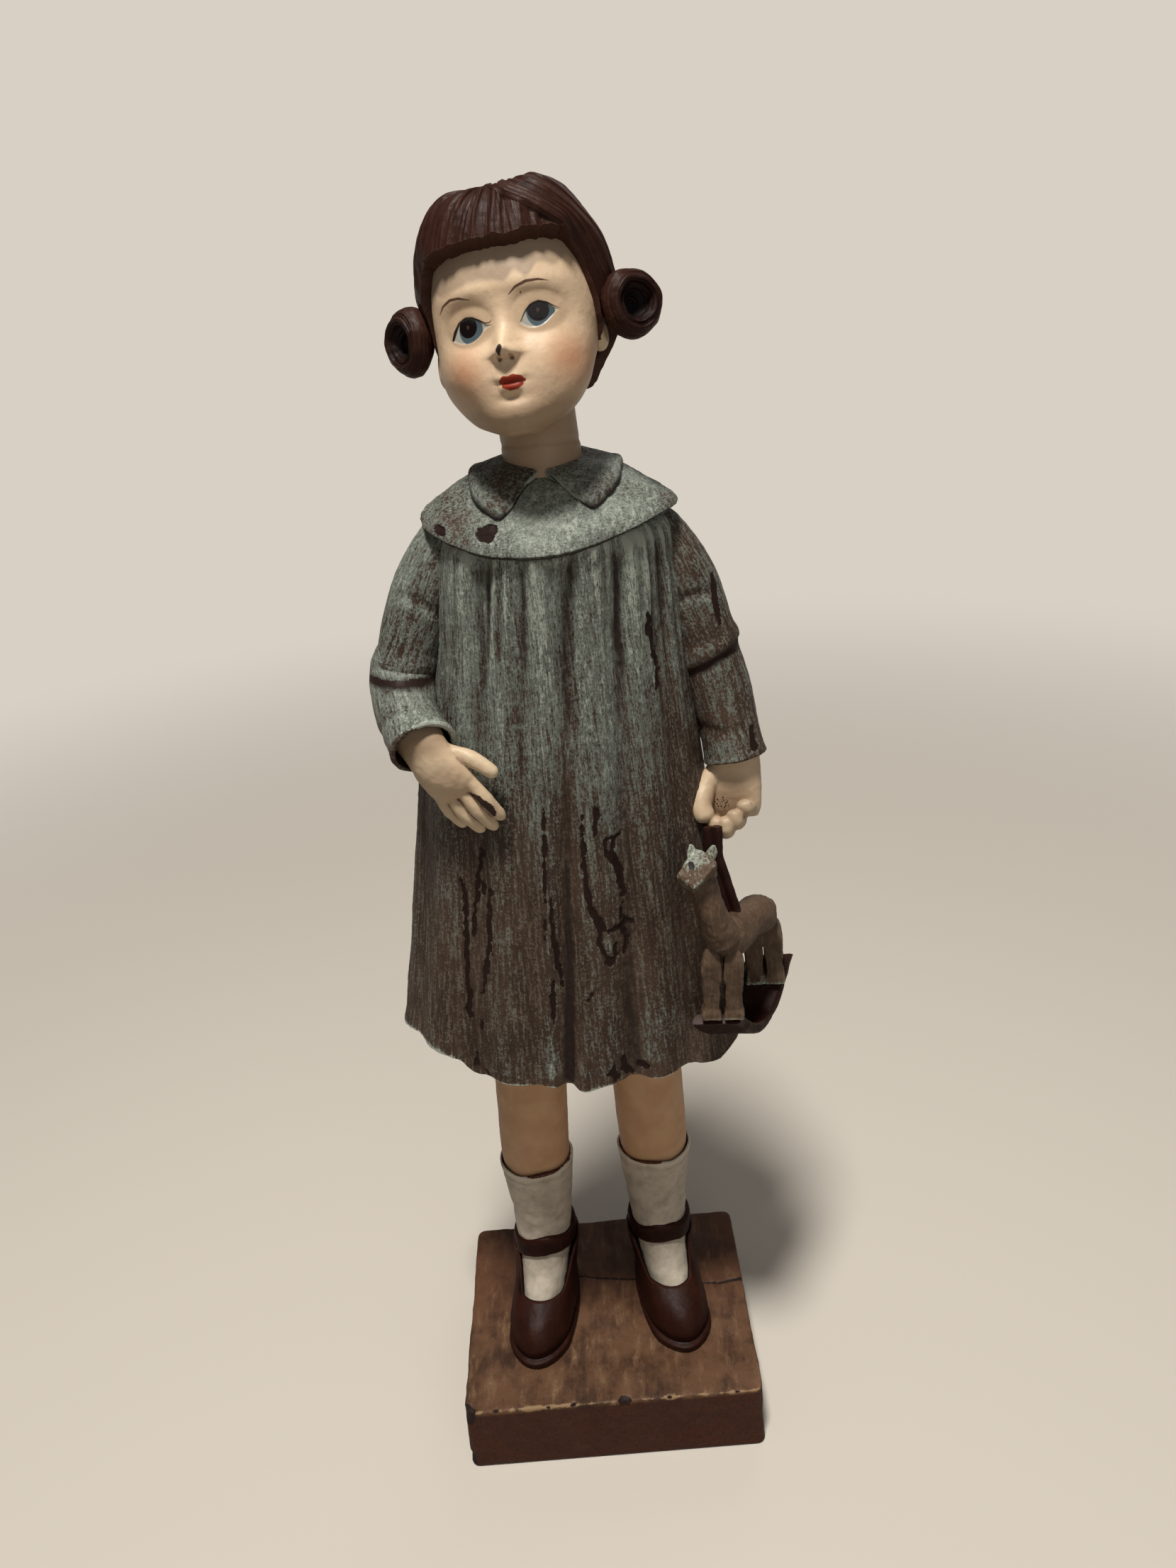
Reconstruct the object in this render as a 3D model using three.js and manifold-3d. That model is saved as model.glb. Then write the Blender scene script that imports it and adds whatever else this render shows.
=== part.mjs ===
// A schoolgirl figure cast in resin: a girl in a smock dress with a round yoke stands on a
// block and holds a toy rocking horse by its strap. Millimetres, +Z up, the girl faces -Y.
// "Right" and "left" are the girl's own. The origin is the centre of the block's underside.
import * as THREE from "three";
import { mergeVertices } from "three/addons/utils/BufferGeometryUtils.js";
import Module from "manifold-3d";

const wasm = await Module();
wasm.setup();

// Driving dimensions
const glueGap = 0.3; // clearance of every glued seat
const overrun = 4; // how far a cutter runs past what it cuts
const weldDistance = 1e-4;
const fullTurn = 2 * Math.PI;
const quarterShare = 0.25; // a quarter of a turn

// The block is widest at its foot; its sides lean in by the draft on the way up.
const block = {
  width: 50.8,
  depth: 40.8,
  height: 12.6,
  cornerRadius: 1.6,
  edgeRadius: 0.5,
  draftX: 0.2,
  draftY: 0.9,
};

// The two legs stand side by side; each foot turns out about its own leg.
const leg = {
  spacing: 20.6,
  centreX: 0.2,
  setBack: { right: 4.6, left: 5.5 },
  kneeRadius: 6,
  calfRadius: 5.9,
  tenonLength: 7,
  tenonRadius: 4.4,
  socketDepth: 1.2,
};
const footTurn = { right: -0.16, left: 0.19 };
const sock = { top: 45.4, soleGap: 1.4, halfWidth: 6.4, instepReach: 13, heelReach: 6.3 };
const shoe = { height: 13.6, halfWidth: 5.7, toeReach: 16.8, heelReach: 8, heelTaper: 0.13 };
const shoeStrap = { width: 3.1, thickness: 0.65 };

const dress = {
  hemZ: 75,
  topZ: 160.5,
  hemHalfWidth: 28.1,
  hemFront: 16.8,
  hemBack: 15.4,
  hemX: -0.1,
  topX: 2.7,
  centreY: 2,
  furrowDepth: 1.5,
  hemWave: 0.7,
  hemSideRise: 1.3,
  hemWall: 3.4,
  hemRecess: 8,
};
const yoke = {
  neckX: 2.5,
  neckY: 1.2,
  neckZ: 162.4,
  neckRadius: 5.5,
  halfWidth: 16.6,
  front: 13.2,
  back: 11.6,
  sideDrop: 6,
  frontDrop: 9.3,
  backDrop: 8.6,
  tiltDrop: 0.3,
  skew: 0.22,
  neckDip: 1.7,
};
const collar = { thickness: 1 };
const neck = { radius: 5, rootDepth: 4, topDepth: 6.6, lean: -0.9 };

const head = {
  x: 1,
  y: -1.1,
  z: 177.6,
  turn: -0.204,
  tilt: -0.098,
  nod: -0.166,
  halfWidth: 9.9,
  front: 10.2,
  back: 10.6,
  chinZ: -12.4,
  crownZ: 12.6,
};
const face = {
  centreX: 0.45,
  noseReach: 2,
  noseZ: -3.6,
  noseHalfWidth: 1.5,
  noseHeight: 1.7,
  bridgeReach: 0.7,
  eyeX: 4.05,
  eyeZ: -0.3,
  eyeWidth: 2.5,
  eyeHeight: 1.7,
  eyeSink: 0.75,
  cheekX: 5.4,
  cheekZ: -5.4,
  cheekWidth: 3,
  cheekReach: 0.7,
  lipZ: -6.9,
  lipWidth: 1.6,
  lipHeight: 0.8,
  lipReach: 0.55,
  chinZ: -10.9,
  chinWidth: 2.6,
  chinReach: 0.7,
};
const ear = { x: 9.7, y: 0.7, z: -3, thickness: 1, halfDepth: 1.5, halfHeight: 2.1 };
const hair = {
  thickness: 1.65,
  fluteCount: 13,
  fluteDepth: 0.34,
  crownX: -0.8,
  crownY: -1.4,
  crest: 1,
  sweepReach: 0.6,
  fringeZ: 6.4,
  fringeArch: 0.6,
  fringeHalfWidth: 8.3,
  templeY: -5.4,
  sidelockZ: -2.7,
  sidelockY: -3.1,
  napeY: 2.2,
  napeZ: -9,
  napeTaper: 0.9,
  templeReach: 0.8,
};
const bun = {
  x: 13.3,
  y: -0.5,
  z: 0.3,
  radius: 3.95,
  halfDepth: 2.15,
  coilPitch: 1.35,
  coilDepth: 0.45,
  dish: 1.1,
  faceOut: 0.62,
};

const sleeve = { radius: 4.85 };
// Centre lines, from the shoulder under the yoke to the elbow, and on to the cuff.
const rightArm = {
  shoulder: [-9.2, 1.6, 154.6],
  middle: [-15.4, 1.2, 146.4],
  elbow: [-19.2, 0.2, 136.2],
  forearm: [-18.9, -4.4, 131.9],
  cuff: [-16.4, -10.2, 128.9],
};
const leftArm = {
  shoulder: [13.6, 1.8, 153.2],
  middle: [19.4, 1.9, 144],
  elbow: [22.5, 1.6, 135],
  forearm: [24.1, 0.6, 127.6],
  cuff: [25.4, -1, 120.2],
};
const hand = { length: 13.8, palmHalfWidth: 3.7, palmHalfDepth: 1.75, fingerRadius: 0.98 };
const fist = { length: 10.5, palmHalfWidth: 4, palmHalfDepth: 2.3, fingerRadius: 1.25 };

// The toy hangs beside the skirt, askew: its length runs back and out, its width across.
const toy = {
  x: 25.4,
  y: -5.4,
  z: 76.7,
  slantShare: 0.0955, // of a full turn
  length: 19.6,
  width: 7,
  height: 36.3,
  boardRise: 6.9,
  boardThickness: 1.6,
  bodyRadius: 2.95,
  legRadius: 1.2,
  neckRadius: 2.15,
  headRadius: 1.95,
  earRadius: 0.7,
  strapHalfWidth: 1.35,
  strapHalfDepth: 0.65,
  strapGroove: 0.3,
};

// Facets round and along each kind of piece
const sides = {
  dress: 56,
  yoke: 32,
  core: 24,
  head: 30,
  hair: 39,
  limb: 14,
  foot: 18,
  bun: 18,
  strap: 10,
  digit: 6,
};

// Finish of each material, as the paint shows it
function paint(colour, roughness) {
  return new THREE.MeshStandardMaterial({ color: new THREE.Color(colour), roughness, metalness: 0 });
}
const skinPaint = paint("#c9a583", 0.38);
const hairPaint = paint("#2c1a18", 0.4);
const dressPaint = paint("#5d6462", 0.62);
const sockPaint = paint("#a8a39b", 0.5);
const shoePaint = paint("#2a1210", 0.32);
const blockPaint = paint("#5a4033", 0.6);
const horsePaint = paint("#6d594a", 0.6);
const rockerPaint = paint("#1c100e", 0.4);

// Smooth value at x of the curve through [x, value] pairs, in rising order of x.
function curveAt(pairs, x) {
  const last = pairs.length - 1;
  if (x <= pairs[0][0]) return pairs[0][1];
  if (x >= pairs[last][0]) return pairs[last][1];
  const i = pairs.findIndex((pair) => pair[0] > x) - 1;
  const slope = (a, b) => (pairs[b][1] - pairs[a][1]) / (pairs[b][0] - pairs[a][0]);
  const step = pairs[i + 1][0] - pairs[i][0];
  const startSlope = slope(Math.max(i - 1, 0), i + 1) * step;
  const endSlope = slope(i, Math.min(i + 2, last)) * step;
  const t = (x - pairs[i][0]) / step;
  const t2 = t * t;
  const t3 = t2 * t;
  return (
    (2 * t3 - 3 * t2 + 1) * pairs[i][1] +
    (t3 - 2 * t2 + t) * startSlope +
    (3 * t2 - 2 * t3) * pairs[i + 1][1] +
    (t3 - t2) * endSlope
  );
}

// The same for a table whose rows are a place and several values.
function rowAt(table, x) {
  return table[0].slice(1).map((_, k) => curveAt(table.map((row) => [row[0], row[k + 1]]), x));
}

// 1 at the middle of a swelling, fading to 0 a few widths away.
function swell(offset, width) {
  return Math.exp(-((offset / width) ** 2));
}

// Distance between two turns, the short way round.
function turnApart(a, b) {
  const apart = Math.abs(a - b) % 1;
  return Math.min(apart, 1 - apart);
}

// The closed surface over a row of rings, with a fan over each end.
function skinOver(rings) {
  const count = rings[0].length;
  const middle = (ring) => ring.reduce((sum, p) => sum.add(p), new THREE.Vector3()).divideScalar(count);
  const first = rings.length * count;
  const places = [...rings.flat(), middle(rings[0]), middle(rings[rings.length - 1])];
  const faces = [];
  for (let i = 0; i < rings.length - 1; i += 1) {
    for (let j = 0; j < count; j += 1) {
      const a = i * count + j;
      const b = i * count + ((j + 1) % count);
      faces.push(a, b, a + count, b, b + count, a + count);
    }
  }
  for (let j = 0; j < count; j += 1) {
    const next = (j + 1) % count;
    faces.push(first, next, j, first + 1, first - count + j, first - count + next);
  }
  const geometry = new THREE.BufferGeometry().setFromPoints(places);
  geometry.setIndex(faces);
  return geometry;
}

// A solid from a closed geometry, turned outside out if its faces point inwards.
function solid(geometry) {
  const bare = geometry.clone();
  bare.deleteAttribute("normal");
  bare.deleteAttribute("uv");
  const merged = mergeVertices(bare, weldDistance);
  const vertProperties = new Float32Array(merged.attributes.position.array);
  const triVerts = new Uint32Array(merged.index.array);
  const build = (verts) => new wasm.Manifold(new wasm.Mesh({ numProp: 3, vertProperties, triVerts: verts }));
  const made = build(triVerts);
  return made.volume() > 0 ? made : build(triVerts.slice().reverse());
}

function join(...solids) {
  return solids.reduce((whole, next) => whole.add(next));
}

function cut(body, ...tools) {
  return tools.reduce((whole, tool) => whole.subtract(tool), body);
}

function moved(body, matrix) {
  return body.transform(matrix.elements);
}

// The largest piece of a cut body, without the slivers that a cut can leave beside it.
function largest(body) {
  return body.decompose().reduce((a, b) => (a.volume() > b.volume() ? a : b));
}

function evenShares(count) {
  return Array.from({ length: count }, (_, i) => i / (count - 1));
}

// A stack of rings: pointAt(turn, share) gives the point at a share of the way up and a turn
// that starts at the front and rises towards +X.
function stack(shares, count, pointAt) {
  const rings = shares.map((share) => Array.from({ length: count }, (_, j) => pointAt(j / count, share)));
  return solid(skinOver(rings));
}

// A point of an oval with its own front and back reach. Squareness 1 is an ellipse.
function ovalPoint(turn, halfWidth, front, back, squareness = 1) {
  const sine = Math.sin(turn * fullTurn);
  const cosine = Math.cos(turn * fullTurn);
  const power = 1 / squareness;
  const x = halfWidth * Math.sign(sine) * Math.abs(sine) ** power;
  const y = -(cosine > 0 ? front : back) * Math.sign(cosine) * Math.abs(cosine) ** power;
  return new THREE.Vector3(x, y, 0);
}

// A limb along a smooth line: oval sections square to the line. sizeShares holds rows of a
// share of the way along, the width's share and the depth's share; `across` is the wide way.
function limb({ points, halfWidth, halfDepth, sizeShares, count, rings, across, relief }) {
  const line = new THREE.CatmullRomCurve3(points);
  const shares = [...new Set([...sizeShares.map((row) => row[0]), ...evenShares(rings)])];
  const made = shares
    .sort((a, b) => a - b)
    .map((share) => {
      const centre = line.getPoint(share);
      const along = line.getTangent(share);
      const wide = across.clone().addScaledVector(along, -across.dot(along)).normalize();
      const deep = new THREE.Vector3().crossVectors(along, wide);
      const [widthShare, depthShare] = rowAt(sizeShares, share);
      return Array.from({ length: count }, (_, j) => {
        const angle = (j / count) * fullTurn;
        const extra = relief ? relief(angle) : 0;
        return centre
          .clone()
          .addScaledVector(wide, (halfWidth * widthShare + extra) * Math.cos(angle))
          .addScaledVector(deep, (halfDepth * depthShare + extra) * Math.sin(angle));
      });
    });
  return solid(skinOver(made));
}

// A flat outline of [a, b] pairs carried through `length` along the third axis of `basis`.
function slab(outline, length, basis) {
  const shape = new THREE.Shape(outline.map(([a, b]) => new THREE.Vector2(a, b)));
  const geometry = new THREE.ExtrudeGeometry(shape, { depth: length, bevelEnabled: false });
  geometry.translate(0, 0, -length / 2);
  geometry.applyMatrix4(new THREE.Matrix4().makeBasis(...basis));
  return solid(geometry);
}
const axisX = new THREE.Vector3(1, 0, 0);
const axisY = new THREE.Vector3(0, 1, 0);
const axisZ = new THREE.Vector3(0, 0, 1);
const fromTheSide = [axisY, axisZ, axisX];
const fromTheFront = [axisX, axisZ, axisY];

const figure = new THREE.Group();
figure.name = "schoolgirl_figure";

// Adds a solid, given in the parent's own frame, as a named node.
function addNode(parent, name, body, material) {
  const made = largest(body).getMesh();
  const geometry = new THREE.BufferGeometry();
  geometry.setAttribute("position", new THREE.Float32BufferAttribute(made.vertProperties, 3));
  geometry.setIndex(new THREE.BufferAttribute(made.triVerts, 1));
  geometry.computeVertexNormals();
  const mesh = new THREE.Mesh(geometry, material);
  mesh.name = name;
  parent.add(mesh);
}

function addGroup(parent, name, x, y, z) {
  const group = new THREE.Group();
  group.name = name;
  group.position.set(x, y, z);
  parent.add(group);
  return group;
}

// Block: a plain plinth with rounded corners and a softened edge
const blockCornerShares = [
  [1, -1, 3 * quarterShare],
  [1, 1, 0],
  [-1, 1, quarterShare],
  [-1, -1, 2 * quarterShare],
];

function blockSolid() {
  const halfWidth = block.width / 2 - block.edgeRadius;
  const halfDepth = block.depth / 2 - block.edgeRadius;
  const corner = block.cornerRadius - block.edgeRadius;
  const outline = new THREE.Shape();
  for (const [sx, sy, start] of blockCornerShares) {
    const x = sx * (halfWidth - corner);
    const y = sy * (halfDepth - corner);
    outline.absarc(x, y, corner, start * fullTurn, (start + quarterShare) * fullTurn, false);
  }
  const geometry = new THREE.ExtrudeGeometry(outline, {
    depth: block.height - 2 * block.edgeRadius,
    bevelThickness: block.edgeRadius,
    bevelSize: block.edgeRadius,
    bevelSegments: 1,
    curveSegments: 3,
  });
  geometry.translate(0, 0, block.edgeRadius);
  const place = geometry.attributes.position;
  for (let i = 0; i < place.count; i += 1) {
    const share = place.getZ(i) / block.height;
    place.setX(i, place.getX(i) * (1 - (2 * block.draftX * share) / block.width));
    place.setY(i, place.getY(i) * (1 - (2 * block.draftY * share) / block.depth));
  }
  return solid(geometry);
}

// Feet, in a frame whose Z axis is the leg's own axis and whose origin is on the block.
// Rows: share of the height, then shares of the front reach, the back reach and the half width.
const sockShares = [
  [0, 0.9, 0.8, 0.5],
  [0.09, 0.94, 0.94, 0.6],
  [0.16, 0.88, 1, 0.65],
  [0.23, 0.75, 0.98, 0.67],
  [0.31, 0.59, 0.92, 0.69],
  [0.4, 0.48, 0.84, 0.72],
  [0.5, 0.41, 0.77, 0.77],
  [0.66, 0.39, 0.82, 0.83],
  [0.84, 0.43, 0.93, 0.92],
  [1, 0.49, 1.01, 1],
];
const shoeShares = [
  [0, 1.02, 1.02, 0.99],
  [0.1, 1.03, 1.03, 1],
  [0.125, 0.99, 0.985, 0.94],
  [0.25, 1, 1.01, 0.98],
  [0.37, 0.955, 1.01, 0.95],
  [0.47, 0.86, 1, 0.93],
  [0.56, 0.72, 0.97, 0.93],
  [0.64, 0.59, 0.94, 0.95],
  [0.78, 0.48, 0.9, 0.99],
  [1, 0.41, 0.86, 1.06],
];
const toplineShares = [
  [-0.585, 0.57],
  [-0.52, 0.6],
  [-0.4, 0.68],
  [-0.29, 0.8],
  [-0.2, 1],
];

function sockSolid(grow) {
  const bottom = sock.soleGap;
  const height = sock.top - block.height - sock.soleGap;
  const shares = sockShares.map((row) => row[0]);
  return stack(shares, sides.foot, (turn, share) => {
    const [front, back, width] = rowAt(sockShares, share);
    const reach = sock.instepReach * front + grow;
    const heel = sock.heelReach * back + grow;
    const middle = (heel - reach) / 2;
    const half = (heel + reach) / 2;
    const point = ovalPoint(turn, sock.halfWidth * width + grow, half, half);
    const lift = share === 0 ? -grow : share === 1 ? grow : 0;
    return point.add(new THREE.Vector3(0, middle, bottom + height * share + lift));
  });
}

function shoeSolid(grow) {
  const shares = shoeShares.map((row) => row[0]);
  return stack(shares, sides.foot, (turn, share) => {
    const [front, back, width] = rowAt(shoeShares, share);
    const reach = shoe.toeReach * front + grow;
    const heel = shoe.heelReach * back + grow;
    const point = ovalPoint(turn, shoe.halfWidth * width + grow, (heel + reach) / 2, (heel + reach) / 2);
    point.x *= 1 + shoe.heelTaper * (1 - share) * Math.cos(turn * fullTurn);
    const lift = share === 1 ? grow : 0;
    return point.add(new THREE.Vector3(0, (heel - reach) / 2, glueGap + shoe.height * share + lift));
  });
}

// What is cut away above the shoe's opening, seen from the side
function shoeOpening() {
  const line = toplineShares.map(([y, z]) => [shoe.toeReach * y, glueGap + shoe.height * z]);
  const high = 2 * shoe.height;
  const outline = [...line, [line[line.length - 1][0], high], [line[0][0], high]];
  return slab(outline, 2 * shoe.halfWidth + overrun, fromTheSide);
}

// The strap round the ankle rests on the shoe's quarters and follows the sock.
function shoeStrapSolid() {
  const bottom = shoe.height + 2 * glueGap;
  const sockHeight = sock.top - block.height - sock.soleGap;
  const outer = (extra) => (turn, share) => {
    const z = bottom + shoeStrap.width * share;
    const [front, back, width] = rowAt(sockShares, (z - sock.soleGap) / sockHeight);
    const reach = sock.instepReach * front + extra;
    const heel = sock.heelReach * back + extra;
    const point = ovalPoint(turn, sock.halfWidth * width + extra, (heel + reach) / 2, (heel + reach) / 2);
    return point.add(new THREE.Vector3(0, (heel - reach) / 2, z));
  };
  return stack([0, 0.5, 1], sides.foot, outer(glueGap + shoeStrap.thickness));
}

function legSolid(grow) {
  const bottom = sock.top - leg.tenonLength - grow;
  const shoulder = sock.top - grow;
  const top = dress.hemZ + dress.hemRecess + leg.socketDepth + grow;
  const levels = [
    [bottom, leg.tenonRadius],
    [shoulder, leg.tenonRadius],
    [shoulder, leg.calfRadius],
    [(sock.top + dress.hemZ) / 2, (leg.calfRadius + leg.kneeRadius) / 2],
    [dress.hemZ, leg.kneeRadius],
    [top, leg.kneeRadius],
  ];
  return stack(levels.map((_, i) => i), sides.foot, (turn, i) => {
    const radius = levels[i][1] + grow;
    return ovalPoint(turn, radius, radius, radius).setZ(levels[i][0] - block.height);
  });
}

function footMatrix(side, name) {
  const x = leg.centreX + (side * leg.spacing) / 2;
  return new THREE.Matrix4().makeRotationZ(footTurn[name]).setPosition(x, leg.setBack[name], block.height);
}

function addFoot(side, name) {
  const x = leg.centreX + (side * leg.spacing) / 2;
  const group = addGroup(figure, `${name}_foot`, x, leg.setBack[name], block.height);
  group.rotation.z = footTurn[name];
  const sockGrown = sockSolid(glueGap);
  addNode(group, `${name}_leg`, legSolid(0), skinPaint);
  addNode(group, `${name}_sock`, cut(sockSolid(0), legSolid(glueGap)), sockPaint);
  addNode(group, `${name}_shoe`, cut(shoeSolid(0), sockGrown, shoeOpening()), shoePaint);
  addNode(group, `${name}_shoe_strap`, cut(shoeStrapSolid(), sockGrown), shoePaint);
}

// Dress: a flared smock whose cloth falls in furrows from under the yoke.
// Rows: share of the height, then of the drift in X, half width, front reach and back reach.
const dressShares = [
  [0, 0, 1, 1, 1],
  [0.1, 0.05, 0.945, 0.965, 0.95],
  [0.2, 0.1, 0.883, 0.935, 0.9],
  [0.5, 0.35, 0.735, 0.835, 0.74],
  [0.76, 0.78, 0.625, 0.745, 0.64],
  [0.877, 0.95, 0.577, 0.71, 0.605],
  [0.924, 1, 0.52, 0.66, 0.56],
  [0.965, 1, 0.38, 0.49, 0.42],
  [1, 1, 0.18, 0.25, 0.2],
];
// Rows: the furrow's turn at the yoke, its turn at the hem and the share of the full depth.
const furrowShares = [
  [-0.205, -0.19, 0.75],
  [-0.1, -0.103, 1],
  [-0.05, -0.035, 0.4],
  [0.021, -0.01, 1.05],
  [0.09, 0.055, 0.9],
  [0.16, 0.115, 0.6],
  [0.27, 0.235, 0.75],
  [0.345, 0.31, 0.6],
  [0.4, 0.385, 0.95],
  [0.455, 0.46, 0.7],
  [0.54, 0.53, 1],
  [0.605, 0.615, 0.65],
  [0.67, 0.69, 0.85],
];
const furrowWidthShare = 0.021; // of a full turn
// Rows: share of the dress's height and the share of the furrows' depth there.
const furrowFadeShares = [
  [0, 1],
  [0.3, 0.7],
  [0.6, 0.45],
  [0.84, 0.62],
  [0.92, 0.35],
  [1, 0],
];

const dressSquareness = 0.95;

function furrowAt(turn, share) {
  return furrowShares.reduce((sum, [topTurn, hemTurn, depth]) => {
    const middle = THREE.MathUtils.lerp(hemTurn, topTurn, share);
    return sum + depth * swell(turnApart(turn, middle), furrowWidthShare);
  }, 0);
}

function dressPoint(turn, share, grow) {
  const [drift, width, front, back] = rowAt(dressShares, share);
  const furrow = furrowAt(turn, share);
  const inwards = dress.furrowDepth * furrow * curveAt(furrowFadeShares, share);
  const point = ovalPoint(
    turn,
    dress.hemHalfWidth * width + grow - inwards,
    dress.hemFront * front + grow - inwards,
    dress.hemBack * back + grow - inwards,
    dressSquareness,
  );
  const sideways = Math.sin(turn * fullTurn) ** 2;
  const wave = share === 0 ? dress.hemWave * furrow + dress.hemSideRise * sideways : 0;
  const lift = share === 0 ? -grow : share === 1 ? grow : 0;
  point.x += THREE.MathUtils.lerp(dress.hemX, dress.topX, drift);
  point.y += dress.centreY;
  point.z = THREE.MathUtils.lerp(dress.hemZ, dress.topZ, share) + wave + lift;
  return point;
}
const dressRingShares = [0, 0.04, 0.14, 0.28, 0.42, 0.56, 0.7, 0.8, 0.877, 0.924, 0.965, 1];

function dressSolid(grow) {
  return stack(dressRingShares, sides.dress, (turn, share) => dressPoint(turn, share, grow));
}

// The shallow hollow under the hem, which the legs rise through
function hemHollow() {
  const levels = [dress.hemZ - overrun, dress.hemZ + dress.hemRecess];
  return stack([0, 1], sides.foot, (turn, share) => {
    const point = ovalPoint(
      turn,
      dress.hemHalfWidth - dress.hemWall,
      dress.hemFront - dress.hemWall,
      dress.hemBack - dress.hemWall,
    );
    return point.add(new THREE.Vector3(dress.hemX, dress.centreY, levels[share]));
  });
}

// Yoke: a round cape from the neck to a lip over the gathers. Rows: share of the way round
// its section from the underside up, then shares of the reach and of the drop at the lip.
const yokeShares = [
  [0, 0.75, 1.1],
  [0.16, 0.965, 1.13],
  [0.24, 1, 1.08],
  [0.32, 1, 1],
  [0.42, 0.95, 0.885],
  [0.56, 0.8, 0.67],
  [0.7, 0.6, 0.44],
  [0.85, 0.34, 0.2],
  [1, 0, 0],
];

function yokePoint(turn, reachShare, dropShare, grow) {
  const sine = Math.sin(turn * fullTurn + yoke.skew);
  const cosine = Math.cos(turn * fullTurn + yoke.skew);
  const lip = ovalPoint(turn, yoke.halfWidth, yoke.front, yoke.back);
  const innermost = ovalPoint(turn, yoke.neckRadius, yoke.neckRadius, yoke.neckRadius);
  const point = innermost.lerp(lip, reachShare);
  point.addScaledVector(point.clone().normalize(), grow);
  const drop =
    cosine ** 2 * (cosine > 0 ? yoke.frontDrop : yoke.backDrop) +
    sine ** 2 * yoke.sideDrop +
    sine * yoke.tiltDrop;
  const dip = yoke.neckDip * Math.max(0, Math.cos(turn * fullTurn)) * Math.max(0, 1 - reachShare) ** 2;
  return point.add(new THREE.Vector3(yoke.neckX, yoke.neckY, yoke.neckZ - drop * dropShare - dip + grow));
}

function yokeSolid(grow) {
  return stack(yokeShares.map((row) => row[0]), sides.yoke, (turn, share) => {
    const [reachShare, dropShare] = rowAt(yokeShares, share);
    const point = yokePoint(turn, reachShare, dropShare, grow);
    if (share < yokeShares[3][0]) point.z -= 2 * grow;
    return point;
  });
}

// The plain body of the dress inside the yoke, without its furrows
const coreShares = [0.8, 0.877, 0.924, 0.965, 1];

function yokeCore() {
  const wide = 2 * glueGap;
  return stack(coreShares, sides.core, (turn, share) => {
    const [drift, width, front, back] = rowAt(dressShares, share);
    const x = THREE.MathUtils.lerp(dress.hemX, dress.topX, drift);
    const z = THREE.MathUtils.lerp(dress.hemZ, dress.topZ, share) + (share === 1 ? wide : 0);
    const point = ovalPoint(
      turn,
      dress.hemHalfWidth * width + wide,
      dress.hemFront * front + wide,
      dress.hemBack * back + wide,
    );
    return point.add(new THREE.Vector3(x, dress.centreY, z));
  });
}

// Collar: two flat leaves that lie on the yoke and part at the front and the back.
// Rows: share of the way from front to back, then the reach share of the leaf's outer edge.
const collarEdgeShares = [
  [0, 0.66],
  [0.03, 0.72],
  [0.1, 0.69],
  [0.2, 0.57],
  [0.32, 0.43],
  [0.5, 0.37],
  [0.75, 0.42],
  [1, 0.5],
];
const collarFrontShares = { inner: 0.012, outer: 0.058 }; // turns of the parting, at neck and tip
const collarTwistShares = { inner: -0.016, outer: -0.004 }; // how far both leaves lie askew
const collarBackShare = 0.492; // turn of the parting at the back
// Rows: share of the way across the leaf and share of its thickness, round its section.
const collarSectionShares = [
  [-0.15, 0],
  [0.5, 0],
  [0.96, 0],
  [1, 0.5],
  [0.93, 0.95],
  [0.5, 1.02],
  [-0.15, 1],
];

function yokeDropAt(reachShare) {
  const upper = yokeShares.slice(3).map(([, reach, drop]) => [reach, drop]);
  return curveAt(upper.reverse(), reachShare);
}

const collarRingShares = [0, 0.03, 0.1, 0.2, 0.32, 0.45, 0.6, 0.8, 1];

function collarSolid(side) {
  const rings = collarRingShares.map((share) => {
    const edge = curveAt(collarEdgeShares, share);
    return collarSectionShares.map(([across, up]) => {
      const front = THREE.MathUtils.lerp(collarFrontShares.inner, collarFrontShares.outer, across);
      const twist = THREE.MathUtils.lerp(collarTwistShares.inner, collarTwistShares.outer, across);
      const turn = side * THREE.MathUtils.lerp(front, collarBackShare, share) + twist * (1 - share);
      const reachShare = edge * across;
      const point = yokePoint(turn, reachShare, yokeDropAt(reachShare), 0);
      point.z += collar.thickness * up + (up > 0 ? glueGap : 0);
      return point;
    });
  });
  return solid(skinOver(rings));
}

// Head, in its own frame: centre between the ears, face to -Y.
// Rows: share of the height from chin to crown, then shares of the front reach (from the
// centre forwards), of the back reach (from the centre backwards) and of the half width.
const headShares = [
  [0, 0.8, -0.4, 0.2],
  [0.025, 0.9, -0.2, 0.36],
  [0.07, 0.975, 0.02, 0.6],
  [0.13, 1, 0.3, 0.79],
  [0.21, 1, 0.6, 0.93],
  [0.31, 0.985, 0.8, 0.985],
  [0.42, 0.965, 0.92, 0.995],
  [0.53, 0.97, 0.99, 1],
  [0.63, 0.975, 1, 0.985],
  [0.73, 0.94, 0.97, 0.945],
  [0.83, 0.84, 0.87, 0.855],
  [0.91, 0.67, 0.7, 0.7],
  [0.965, 0.45, 0.47, 0.48],
  [1, 0.14, 0.14, 0.14],
];
const headSquareness = 1.12;

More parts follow.
